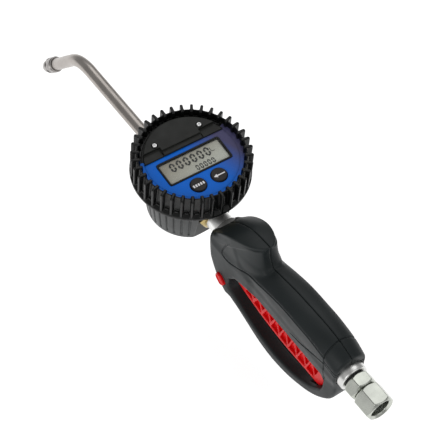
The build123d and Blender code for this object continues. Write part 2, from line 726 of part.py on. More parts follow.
def make_tip_sleeve():
    """The part that is turned by hand to open or close the spout."""
    z0 = 6.4
    profile = [(6.65, z0), (TIP_R, z0), (TIP_R, z0 + 8.6), (6.9, z0 + 11.6), (6.1, z0 + 17.5),
               (4.6, z0 + 21.2), (3.4, z0 + 22.2), (3.4, z0 + 20.0), (4.5, z0 + 17.0),
               (4.5, z0 + 9.0), (6.65, z0 + 8.6)]
    sleeve = turned_z(profile)
    for k in range(6):
        flat = box_between((6.95, -10, z0 + 3.0), (12, 10, z0 + 8.0))
        sleeve -= Rot(0, 0, 60 * k) * flat
    return tip_place(TIP_START) * sleeve


def make_tip_poppet():
    """Cone that closes the mouth of the sleeve, on a stem guided by the tip body."""
    profile = [(0, 10.5), (POPPET_STEM_R, 10.5), (POPPET_STEM_R, 20.5), (3.9, 21.5), (3.9, 23.0),
               (3.1, 25.9), (2.0, 28.2), (0, 28.8)]
    return tip_place(TIP_START) * turned_z(profile)


# ---------------------------------------------------------------- write every node
left_cover, right_cover = make_covers()
NODES = {
    "swivel_nut": make_swivel_nut(),
    "swivel_stem": make_swivel_stem(),
    "inlet_strainer": make_inlet_strainer(),
    "inlet_o_ring": o_ring(Pos(37.0, 0, 0) * Rot(0, 90, 0), 9.1, 1.0),
    "inlet_collar": make_inlet_collar(),
    "valve_body": make_valve_body(),
    "valve_bonnet": make_valve_bonnet(),
    "valve_seat": make_valve_seat(),
    "valve_stem": make_valve_stem(),
    "stem_gland": make_stem_gland(),
    "valve_spring": make_valve_spring(),
    "left_cover": left_cover,
    "right_cover": right_cover,
    "handle_screws": make_handle_screws(),
    "trigger": make_trigger(),
    "trigger_pin": cyl_y(PIVOT_PIN_R, -13, 13, *PIVOT),
    "trigger_spring": make_trigger_spring(),
    "lock_button": make_lock_button(),
    "outlet_collar": make_outlet_collar(),
    "port_adapter": make_port_adapter(),
    "meter_body": make_meter_body(),
    "metering_gear_a": make_metering_gear(1),
    "metering_gear_b": make_metering_gear(-1),
    "gear_magnets": make_gear_magnets(),
    "gear_shafts": make_gear_shafts(),
    "chamber_cover": make_chamber_cover(),
    "chamber_screws": make_chamber_screws(),
    "chamber_seal": make_chamber_seal(),
    "display_housing": make_display_housing(),
    "circuit_board": make_circuit_board(),
    "battery": make_battery(),
    "battery_cover": make_battery_cover(),
    "battery_cover_screws": make_battery_cover_screws(),
    "label_plate": make_label_plate(),
    "lcd_bezel": make_lcd_bezel(),
    "lcd_module": make_lcd_module(),
    "lcd_window": make_lcd_window(),
    "total_button": make_button(1),
    "reset_button": make_button(-1),
    "rubber_boot": make_rubber_boot(),
    "union_nut": make_union_nut(),
    "ferrule": make_ferrule(),
    "spout_tube": make_spout_tube(),
    "tip_body": make_tip_body(),
    "tip_sleeve": make_tip_sleeve(),
    "tip_poppet": make_tip_poppet(),
}

for name, shape in NODES.items():
    export_step(shape, f"parts/{name}.step")
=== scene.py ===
"""Metered oil control gun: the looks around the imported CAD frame.

Lengths in the shape functions are millimetres in the row frame (+X with the oil flow, +Z out of the
display, origin in the mouth of the swivel nut); they become metres when a mesh is made.
"""
import json
import math

import bpy
import numpy as np
from mathutils import Matrix, Vector


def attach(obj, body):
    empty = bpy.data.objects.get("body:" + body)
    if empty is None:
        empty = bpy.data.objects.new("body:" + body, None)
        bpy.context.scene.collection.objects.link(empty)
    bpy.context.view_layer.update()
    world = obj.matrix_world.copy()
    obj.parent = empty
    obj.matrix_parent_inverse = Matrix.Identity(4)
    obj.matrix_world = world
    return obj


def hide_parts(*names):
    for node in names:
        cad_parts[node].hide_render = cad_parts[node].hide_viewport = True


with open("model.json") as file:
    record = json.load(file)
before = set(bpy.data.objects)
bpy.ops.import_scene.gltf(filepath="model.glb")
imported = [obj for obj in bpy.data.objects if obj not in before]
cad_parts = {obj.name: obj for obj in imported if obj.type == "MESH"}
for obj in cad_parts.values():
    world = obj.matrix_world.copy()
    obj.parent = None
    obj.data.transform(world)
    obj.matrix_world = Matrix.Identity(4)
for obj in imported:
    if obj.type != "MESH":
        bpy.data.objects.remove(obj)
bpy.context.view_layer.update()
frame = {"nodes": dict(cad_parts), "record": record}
MM = 0.001

# ---------------------------------------------------------------- driving dimensions, as in the CAD
METER_X = 281.0
DISPLAY_TURN = math.radians(-3.2)
LABEL_Z = 43.4
PIVOT = (199.0, -25.0)
LOCK = (203.5, -37.5)
LOCK_ANGLE = 35
VALVE_X = 176.0


# ---------------------------------------------------------------- distance fields
def smin(a, b, k):
    """Smooth union of two distances, with a fillet of about k."""
    h = np.maximum(k - np.abs(a - b), 0.0) / k
    return np.minimum(a, b) - h * h * k * 0.25


def smax(a, b, k):
    """Smooth intersection of two distances, with a rounding of about k."""
    return -smin(-a, -b, k)


def rounded_pair(a, b, r):
    """Intersection of two perpendicular distances with a true radius r along the edge."""
    outside = np.hypot(np.maximum(a + r, 0.0), np.maximum(b + r, 0.0))
    return outside + np.minimum(np.maximum(a, b) + r, 0.0) - r


def bar_distance(p, axis, centre, radius, low, high, r=0.6):
    """A round bar along one axis (0, 1 or 2); centre gives the two other coordinates."""
    others = [i for i in range(3) if i != axis]
    round_d = np.hypot(p[others[0]] - centre[0], p[others[1]] - centre[1]) - radius
    end_d = np.abs(p[axis] - (low + high) / 2) - (high - low) / 2
    return rounded_pair(round_d, end_d, r)


def box_distance(p, low, high, r=0.5):
    """A box with rounded edges."""
    q = [np.abs(p[i] - (low[i] + high[i]) / 2) - (high[i] - low[i]) / 2 + r for i in range(3)]
    outside = np.sqrt(sum(np.maximum(c, 0.0) ** 2 for c in q))
    return outside + np.minimum(np.maximum(np.maximum(q[0], q[1]), q[2]), 0.0) - r


def curve_points(points, steps=6, closed=False):
    """A Catmull-Rom curve through (a, b) points."""
    pts = np.array(points, float)
    n = len(pts)
    out = []
    for i in range(n if closed else n - 1):
        if closed:
            p0, p1, p2, p3 = (pts[(i + k - 1) % n] for k in range(4))
        else:
            p0, p1, p2, p3 = (pts[min(max(i + k - 1, 0), n - 1)] for k in range(4))
        for j in range(steps):
            t = j / steps
            out.append(0.5 * (2 * p1 + (p2 - p0) * t + (2 * p0 - 5 * p1 + 4 * p2 - p3) * t * t
                              + (3 * p1 - p0 - 3 * p2 + p3) * t ** 3))
    if not closed:
        out.append(pts[-1])
    return np.array(out)


def polygon_distance(a, b, outline):
    """Signed distance in a plane to a closed outline, negative inside."""
    best = np.full(a.shape, 1e9)
    sign = np.ones(a.shape)
    n = len(outline)
    for i in range(n):
        (ax, ay), (bx, by) = outline[i], outline[(i + 1) % n]
        ex, ey = bx - ax, by - ay
        wx, wy = a - ax, b - ay
        t = np.clip((wx * ex + wy * ey) / (ex * ex + ey * ey + 1e-12), 0.0, 1.0)
        best = np.minimum(best, (wx - ex * t) ** 2 + (wy - ey * t) ** 2)
        above, below = ay <= b, by > b
        cross = ex * wy - ey * wx
        flip = (above & below & (cross > 0)) | (~above & ~below & (cross < 0))
        sign = np.where(flip, -sign, sign)
    return sign * np.sqrt(best)


def line_distance(a, b, line):
    """Plain distance in a plane to an open line."""
    best = np.full(a.shape, 1e9)
    for (ax, ay), (bx, by) in zip(line[:-1], line[1:]):
        ex, ey = bx - ax, by - ay
        t = np.clip(((a - ax) * ex + (b - ay) * ey) / (ex * ex + ey * ey + 1e-12), 0.0, 1.0)
        best = np.minimum(best, (a - ax - ex * t) ** 2 + (b - ay - ey * t) ** 2)
    return np.sqrt(best)


def slab_plate(p, outline, half, r):
    """An outline in the XZ plane, thickened to both sides of the centre plane."""
    return rounded_pair(polygon_distance(p[0], p[2], outline), np.abs(p[1]) - half, r)


# ---------------------------------------------------------------- meshes from distance fields
def surface_net(values, low, step):
    """Vertices and quads of the zero surface of a grid of distances."""
    inside = values < 0
    total = np.zeros(tuple(n - 1 for n in values.shape), np.int8)
    for dx in (0, 1):
        for dy in (0, 1):
            for dz in (0, 1):
                total += inside[dx:total.shape[0] + dx, dy:total.shape[1] + dy, dz:total.shape[2] + dz]
    active = (total > 0) & (total < 8)
    cells = np.argwhere(active)
    index = np.full(active.shape, -1, np.int64)
    index[active] = np.arange(len(cells))
    places = np.zeros((len(cells), 3))
    count = np.zeros(len(cells))
    for axis in range(3):
        others = [i for i in range(3) if i != axis]
        for da in (0, 1):
            for db in (0, 1):
                start = cells.copy()
                start[:, others[0]] += da
                start[:, others[1]] += db
                end = start.copy()
                end[:, axis] += 1
                v0 = values[tuple(start.T)]
                v1 = values[tuple(end.T)]
                hit = (v0 < 0) != (v1 < 0)
                point = start[hit].astype(float)
                point[:, axis] += v0[hit] / (v0[hit] - v1[hit])
                places[hit] += point
                count[hit] += 1
    places = np.array(low) + step * places / count[:, None]
    quads = []
    for axis in range(3):
        others = [i for i in range(3) if i != axis]
        low_side = np.take(inside, range(values.shape[axis] - 1), axis)
        high_side = np.take(inside, range(1, values.shape[axis]), axis)
        edges = np.argwhere(low_side != high_side)
        edges = edges[(edges[:, others[0]] > 0) & (edges[:, others[1]] > 0)]
        edges = edges[(edges[:, others[0]] < values.shape[others[0]] - 1)
                      & (edges[:, others[1]] < values.shape[others[1]] - 1)]
        ring = []
        for da, db in ((1, 1), (0, 1), (0, 0), (1, 0)):
            cell = edges.copy()
            cell[:, others[0]] -= da
            cell[:, others[1]] -= db
            ring.append(index[tuple(cell.T)])
        ring = np.stack(ring, 1)
        leaving = low_side[tuple(edges.T)]
        if axis == 1:
            leaving = ~leaving
        ring[~leaving] = ring[~leaving][:, ::-1]
        quads.append(ring)
    return places, np.concatenate(quads)


def field_mesh(name, distance, low, high, step, body, replaces=(), material=None):
    """A piece meshed from its distance field, its points then pulled exactly onto the surface."""
    coarse = step * 4
    counts = [int(math.ceil((high[i] - low[i]) / coarse)) for i in range(3)]
    centres = [low[i] + coarse * (np.arange(counts[i]) + 0.5) for i in range(3)]
    grid = np.meshgrid(*centres, indexing="ij")
    rough = distance([g.ravel() for g in grid]).reshape(counts)
    values = np.repeat(np.repeat(np.repeat(rough, 4, 0), 4, 1), 4, 2)
    values = np.where(values < 0, -1e3, 1e3)
    near = np.abs(rough) < coarse * 1.6
    fine = np.repeat(np.repeat(np.repeat(near, 4, 0), 4, 1), 4, 2)
    where = np.argwhere(fine)
    pts = [low[i] + step * (where[:, i] + 0.5) for i in range(3)]
    values[fine] = distance(pts)
    places, quads = surface_net(values, [low[i] + step * 0.5 for i in range(3)], step)
    for _ in range(3):
        places = places - pull(distance, places)
    mesh = bpy.data.meshes.new(name)
    mesh.from_pydata((places * MM).tolist(), [], quads.tolist())
    mesh.update()
    mesh.shade_smooth()
    piece = bpy.data.objects.new(name, mesh)
    return finish_piece(piece, body, replaces, material)


def pull(distance, places, eps=0.05):
    """The step from each point to the surface, along the field's slope."""
    axes = [places[:, i] for i in range(3)]
    d = distance(axes)
    slope = np.zeros_like(places)
    for i in range(3):
        ahead = list(axes)
        behind = list(axes)
        ahead[i] = axes[i] + eps
        behind[i] = axes[i] - eps
        slope[:, i] = (distance(ahead) - distance(behind)) / (2 * eps)
    size = np.maximum((slope ** 2).sum(1), 0.25)
    step = (d / size)[:, None] * slope
    return np.clip(step, -0.5, 0.5)


def finish_piece(piece, body, replaces=(), material=None):
    """Links a piece, parents it to its body, gives it its material and hides the CAD parts it replaces."""
    if piece.name not in bpy.context.scene.collection.objects:
        bpy.context.scene.collection.objects.link(piece)
    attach(piece, body)
    if replaces:
        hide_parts(*replaces)
    if material:
        piece.data.materials.clear()
        piece.data.materials.append(material)
    return piece


# ---------------------------------------------------------------- procedural materials
# grain scales along X, Y and Z: tool marks round a turned part, or an even grain
TURNED_X = (2600, 60, 60)
TURNED_Z = (60, 60, 2600)
FINE = (2500, 2500, 2500)


def material_base(name):
    """A new node material and its shader."""
    material = bpy.data.materials.new(name)
    material.use_nodes = True
    return material, material.node_tree, material.node_tree.nodes["Principled BSDF"]


def scaled_place(tree, scale):
    """Object coordinates in metres, multiplied by a scale for each axis."""
    place = tree.nodes.new("ShaderNodeTexCoord")
    mapping = tree.nodes.new("ShaderNodeMapping")
    mapping.inputs["Scale"].default_value = scale
    tree.links.new(place.outputs["Object"], mapping.inputs["Vector"])
    return mapping.outputs["Vector"]


def noise(tree, scale, detail=3.0):
    """Noise over the object, with its own scale along each axis."""
    node = tree.nodes.new("ShaderNodeTexNoise")
    node.inputs["Scale"].default_value = 1.0
    node.inputs["Detail"].default_value = detail
    tree.links.new(scaled_place(tree, scale), node.inputs["Vector"])
    return node.outputs["Fac"]


def ramp(tree, factor, low, high, start=0.3, end=0.7):
    """A colour that runs between two tints."""
    node = tree.nodes.new("ShaderNodeValToRGB")
    node.color_ramp.elements[0].position = start
    node.color_ramp.elements[1].position = end
    node.color_ramp.elements[0].color = (*low, 1)
    node.color_ramp.elements[1].color = (*high, 1)
    tree.links.new(factor, node.inputs["Fac"])
    return node.outputs["Color"]


def remap(tree, factor, low, high, start=0.3, end=0.7):
    """A number that runs between two values."""
    node = tree.nodes.new("ShaderNodeMapRange")
    node.inputs["From Min"].default_value = start
    node.inputs["From Max"].default_value = end
    node.inputs["To Min"].default_value = low
    node.inputs["To Max"].default_value = high
    tree.links.new(factor, node.inputs["Value"])
    return node.outputs["Result"]


def add_bump(tree, shader, height, strength, depth):
    """Lets a height drive the shader's normal, its depth in metres."""
    node = tree.nodes.new("ShaderNodeBump")
    node.inputs["Strength"].default_value = strength
    node.inputs["Distance"].default_value = depth
    tree.links.new(height, node.inputs["Height"])
    tree.links.new(node.outputs["Normal"], shader.inputs["Normal"])


def surface(name, low, high, rough, metal=0.0, cloud=30.0, grain=FINE, bump=0.2, depth=0.00004, **sockets):
    """A finish with cloudy colour, smudged gloss and a fine grain or tool marks."""
    material, tree, shader = material_base(name)
    clouds = noise(tree, (cloud, cloud, cloud))
    tree.links.new(ramp(tree, clouds, low, high), shader.inputs["Base Color"])
    smudges = noise(tree, (cloud * 3, cloud * 3, cloud * 3), 5.0)
    tree.links.new(remap(tree, smudges, *rough), shader.inputs["Roughness"])
    add_bump(tree, shader, noise(tree, grain, 2.0), bump, depth)
    shader.inputs["Metallic"].default_value = metal
    for socket, value in sockets.items():
        shader.inputs[socket.replace("_", " ")].default_value = value
    return material


def tint(r, g, b):
    """Screen colour 0-255 as linear light."""
    channels = (r / 255, g / 255, b / 255)
    return tuple(c / 12.92 if c <= 0.04045 else ((c + 0.055) / 1.055) ** 2.4 for c in channels)


LOOKS = {
    "handle_plastic": surface("handle_plastic", tint(28, 33, 34), tint(35, 40, 41), (0.38, 0.48), cloud=18,
                              bump=0.08, depth=0.00003, Specular_IOR_Level=0.22),
    "trigger_plastic": surface("trigger_plastic", tint(206, 3, 9), tint(218, 6, 12), (0.26, 0.38), cloud=40,
                               bump=0.06, Specular_IOR_Level=0.2),
    "zinc_steel": surface("zinc_steel", tint(178, 181, 174), tint(194, 197, 189), (0.20, 0.30), 1.0, cloud=60,
                          grain=TURNED_X, bump=0.03, depth=0.00001),
    "chrome": surface("chrome", tint(160, 154, 149), tint(178, 172, 167), (0.26, 0.36), 1.0, cloud=40,
                      grain=(60, 60, 60), bump=0.02, depth=0.00001),
    "satin_collar": surface("satin_collar", tint(206, 206, 204), tint(222, 222, 220), (0.24, 0.34), 1.0,
                            cloud=50, grain=TURNED_X, bump=0.03, depth=0.00001),
    # outlet collar: bright satin metal whose base is lightened further as painted light, standing in for the
    # bright reflections on the collar
    "outlet_collar": surface("outlet_collar", tint(232, 232, 230), tint(244, 244, 242), (0.30, 0.42), 1.0,
                             cloud=50, grain=TURNED_X, bump=0.03, depth=0.00001),
    "tip_metal": surface("tip_metal", tint(142, 138, 136), tint(158, 154, 151), (0.18, 0.28), 1.0, cloud=90,
                         bump=0.03, depth=0.00001),
    "brass": surface("brass", tint(176, 158, 108), tint(196, 178, 126), (0.24, 0.36), 1.0, cloud=80,
                     grain=TURNED_X, bump=0.04, depth=0.00001),
    "valve_casting": surface("valve_casting", tint(150, 150, 148), tint(172, 172, 170), (0.45, 0.6), 1.0,
                             grain=(900, 900, 900), bump=0.35, depth=0.00008),
    "valve_steel": surface("valve_steel", tint(170, 172, 174), tint(190, 192, 194), (0.2, 0.34), 1.0,
                           grain=TURNED_Z, bump=0.05, depth=0.00001),
    "spring_steel": surface("spring_steel", tint(120, 122, 126), tint(150, 152, 156), (0.3, 0.4), 1.0),
    "seal_rubber": surface("seal_rubber", tint(14, 14, 14), tint(20, 20, 20), (0.45, 0.6), bump=0.1),
    "meter_casting": surface("meter_casting", tint(62, 64, 64), tint(74, 76, 76), (0.36, 0.50), 0.0, cloud=30,
                             grain=(1400, 1400, 1400), bump=0.15, depth=0.00004, Specular_IOR_Level=0.3),
    "gear_polymer": surface("gear_polymer", tint(214, 208, 190), tint(226, 220, 204), (0.4, 0.5), bump=0.1),
    "magnet": surface("magnet", tint(150, 150, 154), tint(170, 170, 174), (0.2, 0.3), 1.0),
    "boot_rubber": surface("boot_rubber", tint(8, 9, 9), tint(13, 14, 14), (0.26, 0.40), cloud=60,
                           grain=(1800, 1800, 1800), bump=0.10, depth=0.00003, Specular_IOR_Level=0.3),
    "display_plastic": surface("display_plastic", tint(26, 27, 25), tint(33, 34, 32), (0.36, 0.48), cloud=40,
                               grain=(2200, 2200, 2200), bump=0.12, depth=0.00004, Specular_IOR_Level=0.22),
    "lcd_glass": surface("lcd_glass", tint(225, 228, 224), tint(240, 242, 238), (0.03, 0.07), cloud=20,
                         bump=0.0, Alpha=0.04),
    "button_rubber": surface("button_rubber", tint(27, 23, 22), tint(36, 31, 30), (0.34, 0.46), cloud=90,
                             bump=0.12, Specular_IOR_Level=0.25),
    "board": surface("board", tint(16, 70, 38), tint(24, 88, 50), (0.35, 0.5), grain=(700, 700, 700)),
    "battery_cell": surface("battery_cell", tint(60, 96, 150), tint(70, 110, 165), (0.3, 0.4)),
    "screw_steel": surface("screw_steel", tint(206, 206, 206), tint(226, 226, 226), (0.2, 0.34), 1.0,
                           cloud=200, bump=0.05, depth=0.00001),
    "printed_white": surface("printed_white", tint(236, 234, 236), tint(248, 246, 248), (0.4, 0.5),
                             cloud=120),
    "lcd_ink": surface("lcd_ink", tint(10, 12, 10), tint(18, 20, 17), (0.4, 0.5), cloud=120,
                       Specular_IOR_Level=0.1),
    "bezel_black": surface("bezel_black", tint(8, 9, 10), tint(13, 14, 15), (0.25, 0.36), cloud=90,
                           Specular_IOR_Level=0.2),
}


def gradient_material(name, direction, centre, low, high, half_width, rough, **sockets):
    """A sheet whose colour runs from one tint to another along a direction, with a little grain."""
    material, tree, shader = material_base(name)
    place = tree.nodes.new("ShaderNodeTexCoord")
    along = tree.nodes.new("ShaderNodeVectorMath")
    along.operation = "DOT_PRODUCT"
    along.inputs[1].default_value = direction
    tree.links.new(place.outputs["Object"], along.inputs[0])
    grey = ramp(tree, remap(tree, along.outputs["Value"], 0, 1, centre - half_width, centre + half_width),
                low, high, 0.0, 1.0)
    tree.links.new(grey, shader.inputs["Base Color"])
    tree.links.new(remap(tree, noise(tree, (90, 90, 90), 5.0), *rough), shader.inputs["Roughness"])
    add_bump(tree, shader, noise(tree, (1500, 1500, 1500), 2.0), 0.08, 0.00002)
    for socket, value in sockets.items():
        shader.inputs[socket.replace("_", " ")].default_value = value
    return material


# the label's blue running to violet-grey towards -Y and +X is a painted reflection on the glossy film, not
# the print's own colour
LOOKS["label_film"] = gradient_material("label_film", (0.35, -0.94, 0), 0.1165, tint(0, 108, 220),
                                        tint(78, 76, 112), 0.015, (0.24, 0.36), Specular_IOR_Level=0.12)
LOOKS["lcd_panel"] = gradient_material("lcd_panel", (1, 0.3, 0), 0.277, tint(196, 199, 188),
                                       tint(160, 155, 140), 0.014, (0.4, 0.5), Specular_IOR_Level=0.1)

for part in frame["record"]["subparts"]:
    node = frame["nodes"].get(part.get("node"))
    if node is None:
        continue
    node.data.materials.clear()
    node.data.materials.append(LOOKS[part["material_slot"]])


# ---------------------------------------------------------------- handle shells
def part_smooth(curved, corners):
    """Closed outline from a curve and the corners that follow it."""
    return curve_points(curved, 4).tolist() + corners


def smooth_table(points):
    """A smooth function through (place, value) points."""
    line = curve_points(points, 12)
    return lambda t: np.interp(t, line[:, 0], line[:, 1])


# along the grip: height of the roof, height of its edges, half width of the grip and of the guard
ROOF_Z = smooth_table([(42, 21.8), (52, 25.2), (63, 27.8), (78, 29.1), (92, 29.0), (105, 28.4), (128, 26.7),
                       (154, 21.9), (175, 17.0), (200, 12.0)])
RIDGE_Z = smooth_table([(42, 5.0), (52, 12.5), (63, 17.6), (75, 20.0), (87, 21.2), (101, 21.1), (115, 21.0),
                        (127, 20.0), (143, 16.6), (160, 11.4), (180, 5.0), (200, 0.0)])
HALF_Y = smooth_table([(42, 17.6), (52, 17.9), (63, 18.0), (84, 18.1), (105, 18.1), (130, 17.9), (160, 17.5),
                       (200, 17.4)])
GUARD_Y = smooth_table([(40, 13.5), (60, 14.5), (100, 13.4), (150, 13.4), (178, 14.0), (198, 16.4),
                        (225, 17.0)])
FRONT_HALF_Y = 17.1
# the neck's rear face lies NECK_ROUND further forward at NECK_ROUND_Y from the centre plane
NECK_ROUND = 30.0
NECK_ROUND_Y = 17.5
SHELL_REAR_X = 44.6
# creases on the sides, in the XZ plane
CREASE = curve_points([(61, 17.0), (75, 19.2), (87, 20.4), (101, 20.3), (115, 20.1), (127, 19.0),
                       (143, 15.8), (158, 11.8), (170, 9.3), (184.6, 3.2), (195, -0.9), (202, -1.4),
                       (206, 1.6), (205, 8.5), (201.5, 17.0), (197, 25.0)])
REAR_GROOVE = curve_points([(107, -3.5), (95, -1.2), (82, 2.8), (70, 6.8), (60, 9.6)])
CHANNEL = curve_points([(58.6, 11.6), (51, 10.0), (42, 8.0)])
# outlines in the XZ plane: a smooth run, closed by straight corners inside the handle
GUARD_OUTLINE = part_smooth([(43, -22), (50, -40), (63, -54.5), (76, -64.5), (89, -71.5), (103, -77),
                             (118, -80), (133, -80.5), (148, -78), (164, -72.5), (180, -65), (197, -54),
                             (208, -44.5), (216, -34), (222, -22)], [(222, 0), (43, 0)])
WINDOW_OUTLINE = part_smooth([(63, -40), (69.5, -47), (77, -53.5), (90.5, -61.5), (104, -66.5), (119, -69),
                              (134, -69), (149.5, -66.5), (165, -62.5), (181, -55), (192, -45),
                              (194.5, -36)],
                             [(194, -27), (186, -20), (170, -17), (66, -17), (61, -22), (61, -34)])
NOSE_OUTLINE = part_smooth([(197, -53), (208, -44), (216, -34), (222, -24), (227, -12), (229, -2),
                            (227.5, 6), (222, 12)],
                           [(206, 27), (190, 27), (178, 8), (164, 4), (164, -14), (186, -20)])
NECK_REAR_X = smooth_table([(0, 146.0), (12, 148.0), (17, 150.6), (20.5, 153.8), (24, 157.6), (30, 160.8),
                            (36.7, 162.9), (42, 164.0), (52, 165.0)])
CAP_TOP = [(163.6, 45.0), (172, 44.5), (182, 43.3), (192, 40.2), (202, 34.2), (212, 25.7), (221, 14.2),
           (226, 5)]
CAP_UNDER = [(222, 3), (212, 11), (200, 21), (188, 31), (176, 39.0), (168, 41.4), (163.6, 42.3)]
CAP_OUTLINE = curve_points(CAP_TOP, 4).tolist() + curve_points(CAP_UNDER, 4).tolist()
CAP_CROWN = 0.0115
NECK_SIDE = [(140, 0), (140, 46), (164, 43), (198, 32), (222, 8), (222, 0)]
TRIGGER_SLOT = [(61.5, -8.9), (190, -8.9), (207, -17), (207, -31), (199, -38), (186, -42), (100, -45),
                (80, -56), (68, -54.5), (61.5, -45)]
# the screws whose heads show; the CAD's fifth one, under the roof's edge, stays closed over
HANDLE_SCREWS = [(53.0, -28.0), (133.0, -74.0), (212.0, -24.0), (206.0, 19.0)]


def ellipse_distance(a, b, half_a, half_b):
    """Distance to an ellipse about the origin, good near its edge."""
    s = np.sqrt((a / half_a) ** 2 + (b / half_b) ** 2) + 1e-9
    slope = np.hypot(a / half_a ** 2, b / half_b ** 2) / s + 1e-9
    return (s - 1.0) / slope


def slot_distance(a, b, centre, length, width, angle):
    """Distance in a plane to a rounded oblong."""
    c, s = math.cos(math.radians(angle)), math.sin(math.radians(angle))
    u = (a - centre[0]) * c + (b - centre[1]) * s
    v = -(a - centre[0]) * s + (b - centre[1]) * c
    return np.hypot(np.maximum(np.abs(u) - (length - width) / 2, 0.0), v) - width / 2


def carve(solid, beside, half, depth):
    """A groove along a line, steep-sided, that follows the surface at a depth."""
    return np.maximum(solid, np.minimum((half - beside) * 1.6, solid + depth))


def grip_solid(x, ay, z):
    """Grip with a crowned roof, and sides that lean in towards the trigger."""
    top, ridge, half = ROOF_Z(x), RIDGE_Z(x), HALF_Y(x)
    roof_r = (half ** 2 + (top - ridge) ** 2) / (2 * (top - ridge))
    roof = np.hypot(ay, z - top + roof_r) - roof_r
    side = ay - half + 0.5
    lean = side * 0.914 - (z + 2.0) * 0.405
    grip = smax(roof, smax(side, lean, 6.0), 1.6)
    return smax(smax(grip, -17.2 - z, 3.0), x - 196.0, 8.0)


def nose_solid(x, ay, z):
    """Front of the handle, round the trigger's pin and the outlet."""
    return rounded_pair(polygon_distance(x, z, NOSE_OUTLINE), ay - FRONT_HALF_Y, 6.5)


def guard_solid(x, ay, z):
    """Bow under the fingers, still filled in where its window will be."""
    return rounded_pair(polygon_distance(x, z, GUARD_OUTLINE), ay - GUARD_Y(x), 3.2)


def neck_solid(x, ay, z):
    """Upright neck over the valve, its rear face rounded off towards both sides."""
    rounding = NECK_ROUND * (ay / NECK_ROUND_Y) ** 4
    slope = np.sqrt(1.35 + (4 * NECK_ROUND * ay ** 3 / NECK_ROUND_Y ** 4) ** 2)
    rear = (NECK_REAR_X(z) + rounding - x) / slope
    front = polygon_distance(x, z, NECK_SIDE)
    return smax(smax(front, rear, 1.0), ay - FRONT_HALF_Y, 3.0)


def cap_solid(x, ay, z):
    """Crowned hood over the neck, elliptical from above."""
    side_view = polygon_distance(x, z + CAP_CROWN * ay * ay, CAP_OUTLINE)
    return rounded_pair(side_view, ellipse_distance(x - 200.0, ay, 36.4, 18.0), 1.2)


def with_creases(solid, x, ay, z):
    """Cuts the creases into the sides, and a ring seam near the rear end."""
    on_side = np.maximum(9.0 - ay, 0.0) * 3.0
    fade = np.maximum(z - 12.0, 0.0) * np.clip((x - 190.0) / 8.0, 0.0, 1.0) * 0.045
    solid = carve(solid, line_distance(x, z, CREASE) + on_side + fade, 0.62, 0.8)
    solid = carve(solid, line_distance(x, z, REAR_GROOVE) + on_side, 0.75, 0.7)
    solid = carve(solid, np.abs(line_distance(x, z, CHANNEL) - 1.5) + on_side, 0.4, 0.6)
    ring_x = 59.6 + 4.0 * (np.maximum(z + 5.0, 0.0) / 33.0) ** 2
    below = np.maximum(-22.0 - z, 0.0) * 3.0
    return carve(solid, np.abs(x - ring_x) + below, 0.62, 1.1)


def handle_solid(x, ay, z):
    """Outside of both shells together; ay is the distance from the centre plane."""
    solid = smin(smin(grip_solid(x, ay, z), nose_solid(x, ay, z), 5.0), guard_solid(x, ay, z), 8.0)
    solid = smin(solid, neck_solid(x, ay, z), 2.0)
    solid = smin(solid, cap_solid(x, ay, z), 1.2)
    solid = smax(solid, -polygon_distance(x, z, WINDOW_OUTLINE), 3.0)
    solid = smax(solid, SHELL_REAR_X - x, 2.6)
    return with_creases(solid, x, ay, z)


def handle_hollow(x, y, z):
    """What the shells are hollow for: valve, collars, trigger, pins and screws."""
    p = [x, y, z]
    ay = np.abs(y)
    hollow = bar_distance(p, 0, (0, 0), 9.1, 40, 153, 0.1)
    for part in (bar_distance(p, 0, (0, 0), 13.1, 151.9, 226.1, 0.1),
                 bar_distance(p, 2, (VALVE_X, 0), 13.1, -12, 28.1, 0.1),
                 bar_distance(p, 2, (VALVE_X, 0), 12.1, 20, 31.6, 0.1),
                 bar_distance(p, 0, (0, 0), 14.3, 30, 52.1, 0.1),
                 bar_distance(p, 0, (0, 0), 11.3, 222, 240, 0.1),
                 np.maximum(polygon_distance(x, z, TRIGGER_SLOT), ay - 8.5),
                 bar_distance(p, 1, PIVOT, 2.55, -13.1, 13.1, 0.1),
                 bar_distance(p, 1, PIVOT, 4.9, -10.8, 0, 0.1),
                 bar_distance(p, 1, LOCK, 2.75, -40.0, 13.0, 0.1),
                 np.maximum(slot_distance(x, z, LOCK, 13.7, 9.7, LOCK_ANGLE), 10.8 - y)):
        hollow = np.minimum(hollow, part)
    for sx, sz in HANDLE_SCREWS:
        seat = 10.0 if sx > 200 else 8.5
        hollow = np.minimum(hollow, bar_distance(p, 1, (sx, sz), 3.3, -40, -seat, 0.1))
        hollow = np.minimum(hollow, bar_distance(p, 1, (sx, sz), 1.7, -40, 8.1, 0.1))
    return hollow


def shell_distance(side):
    """One half of the handle: side is 1 for the left shell and -1 for the right."""
    def distance(p):
        x, y, z = p
        solid = smax(handle_solid(x, np.abs(y), z), -handle_hollow(x, y, z), 0.8)
        return rounded_pair(solid, 0.10 - side * y, 0.9)
    return distance


STEP = 0.7
field_mesh("left_shell", shell_distance(1), (39, -2, -82), (232, 21, 51), STEP, "gun",
           ("left_cover",), LOOKS["handle_plastic"])
field_mesh("right_shell", shell_distance(-1), (39, -21, -82), (232, 2, 51), STEP, "gun",
           ("right_cover",), LOOKS["handle_plastic"])


# ---------------------------------------------------------------- trigger and lock button
TRIGGER_OUTLINE = part_smooth([(199, -36), (190, -39.5), (175, -43.5), (150, -48.5), (120, -51),
                               (90, -50.5), (72, -50.5), (66.5, -46), (64.5, -38)],
                              [(63.5, -24), (140, -22), (164, -18), (182, -18), (190, -17), (198, -17),
                               (204.5, -22), (204.5, -28.5)])
POCKET_COUNT = 8
POCKET_PITCH = 13.0
POCKET_FLOOR = smooth_table([(60, -45.5), (90, -46.2), (120, -46.5), (150, -43.9), (175, -38.6),
                             (190, -34.5)])


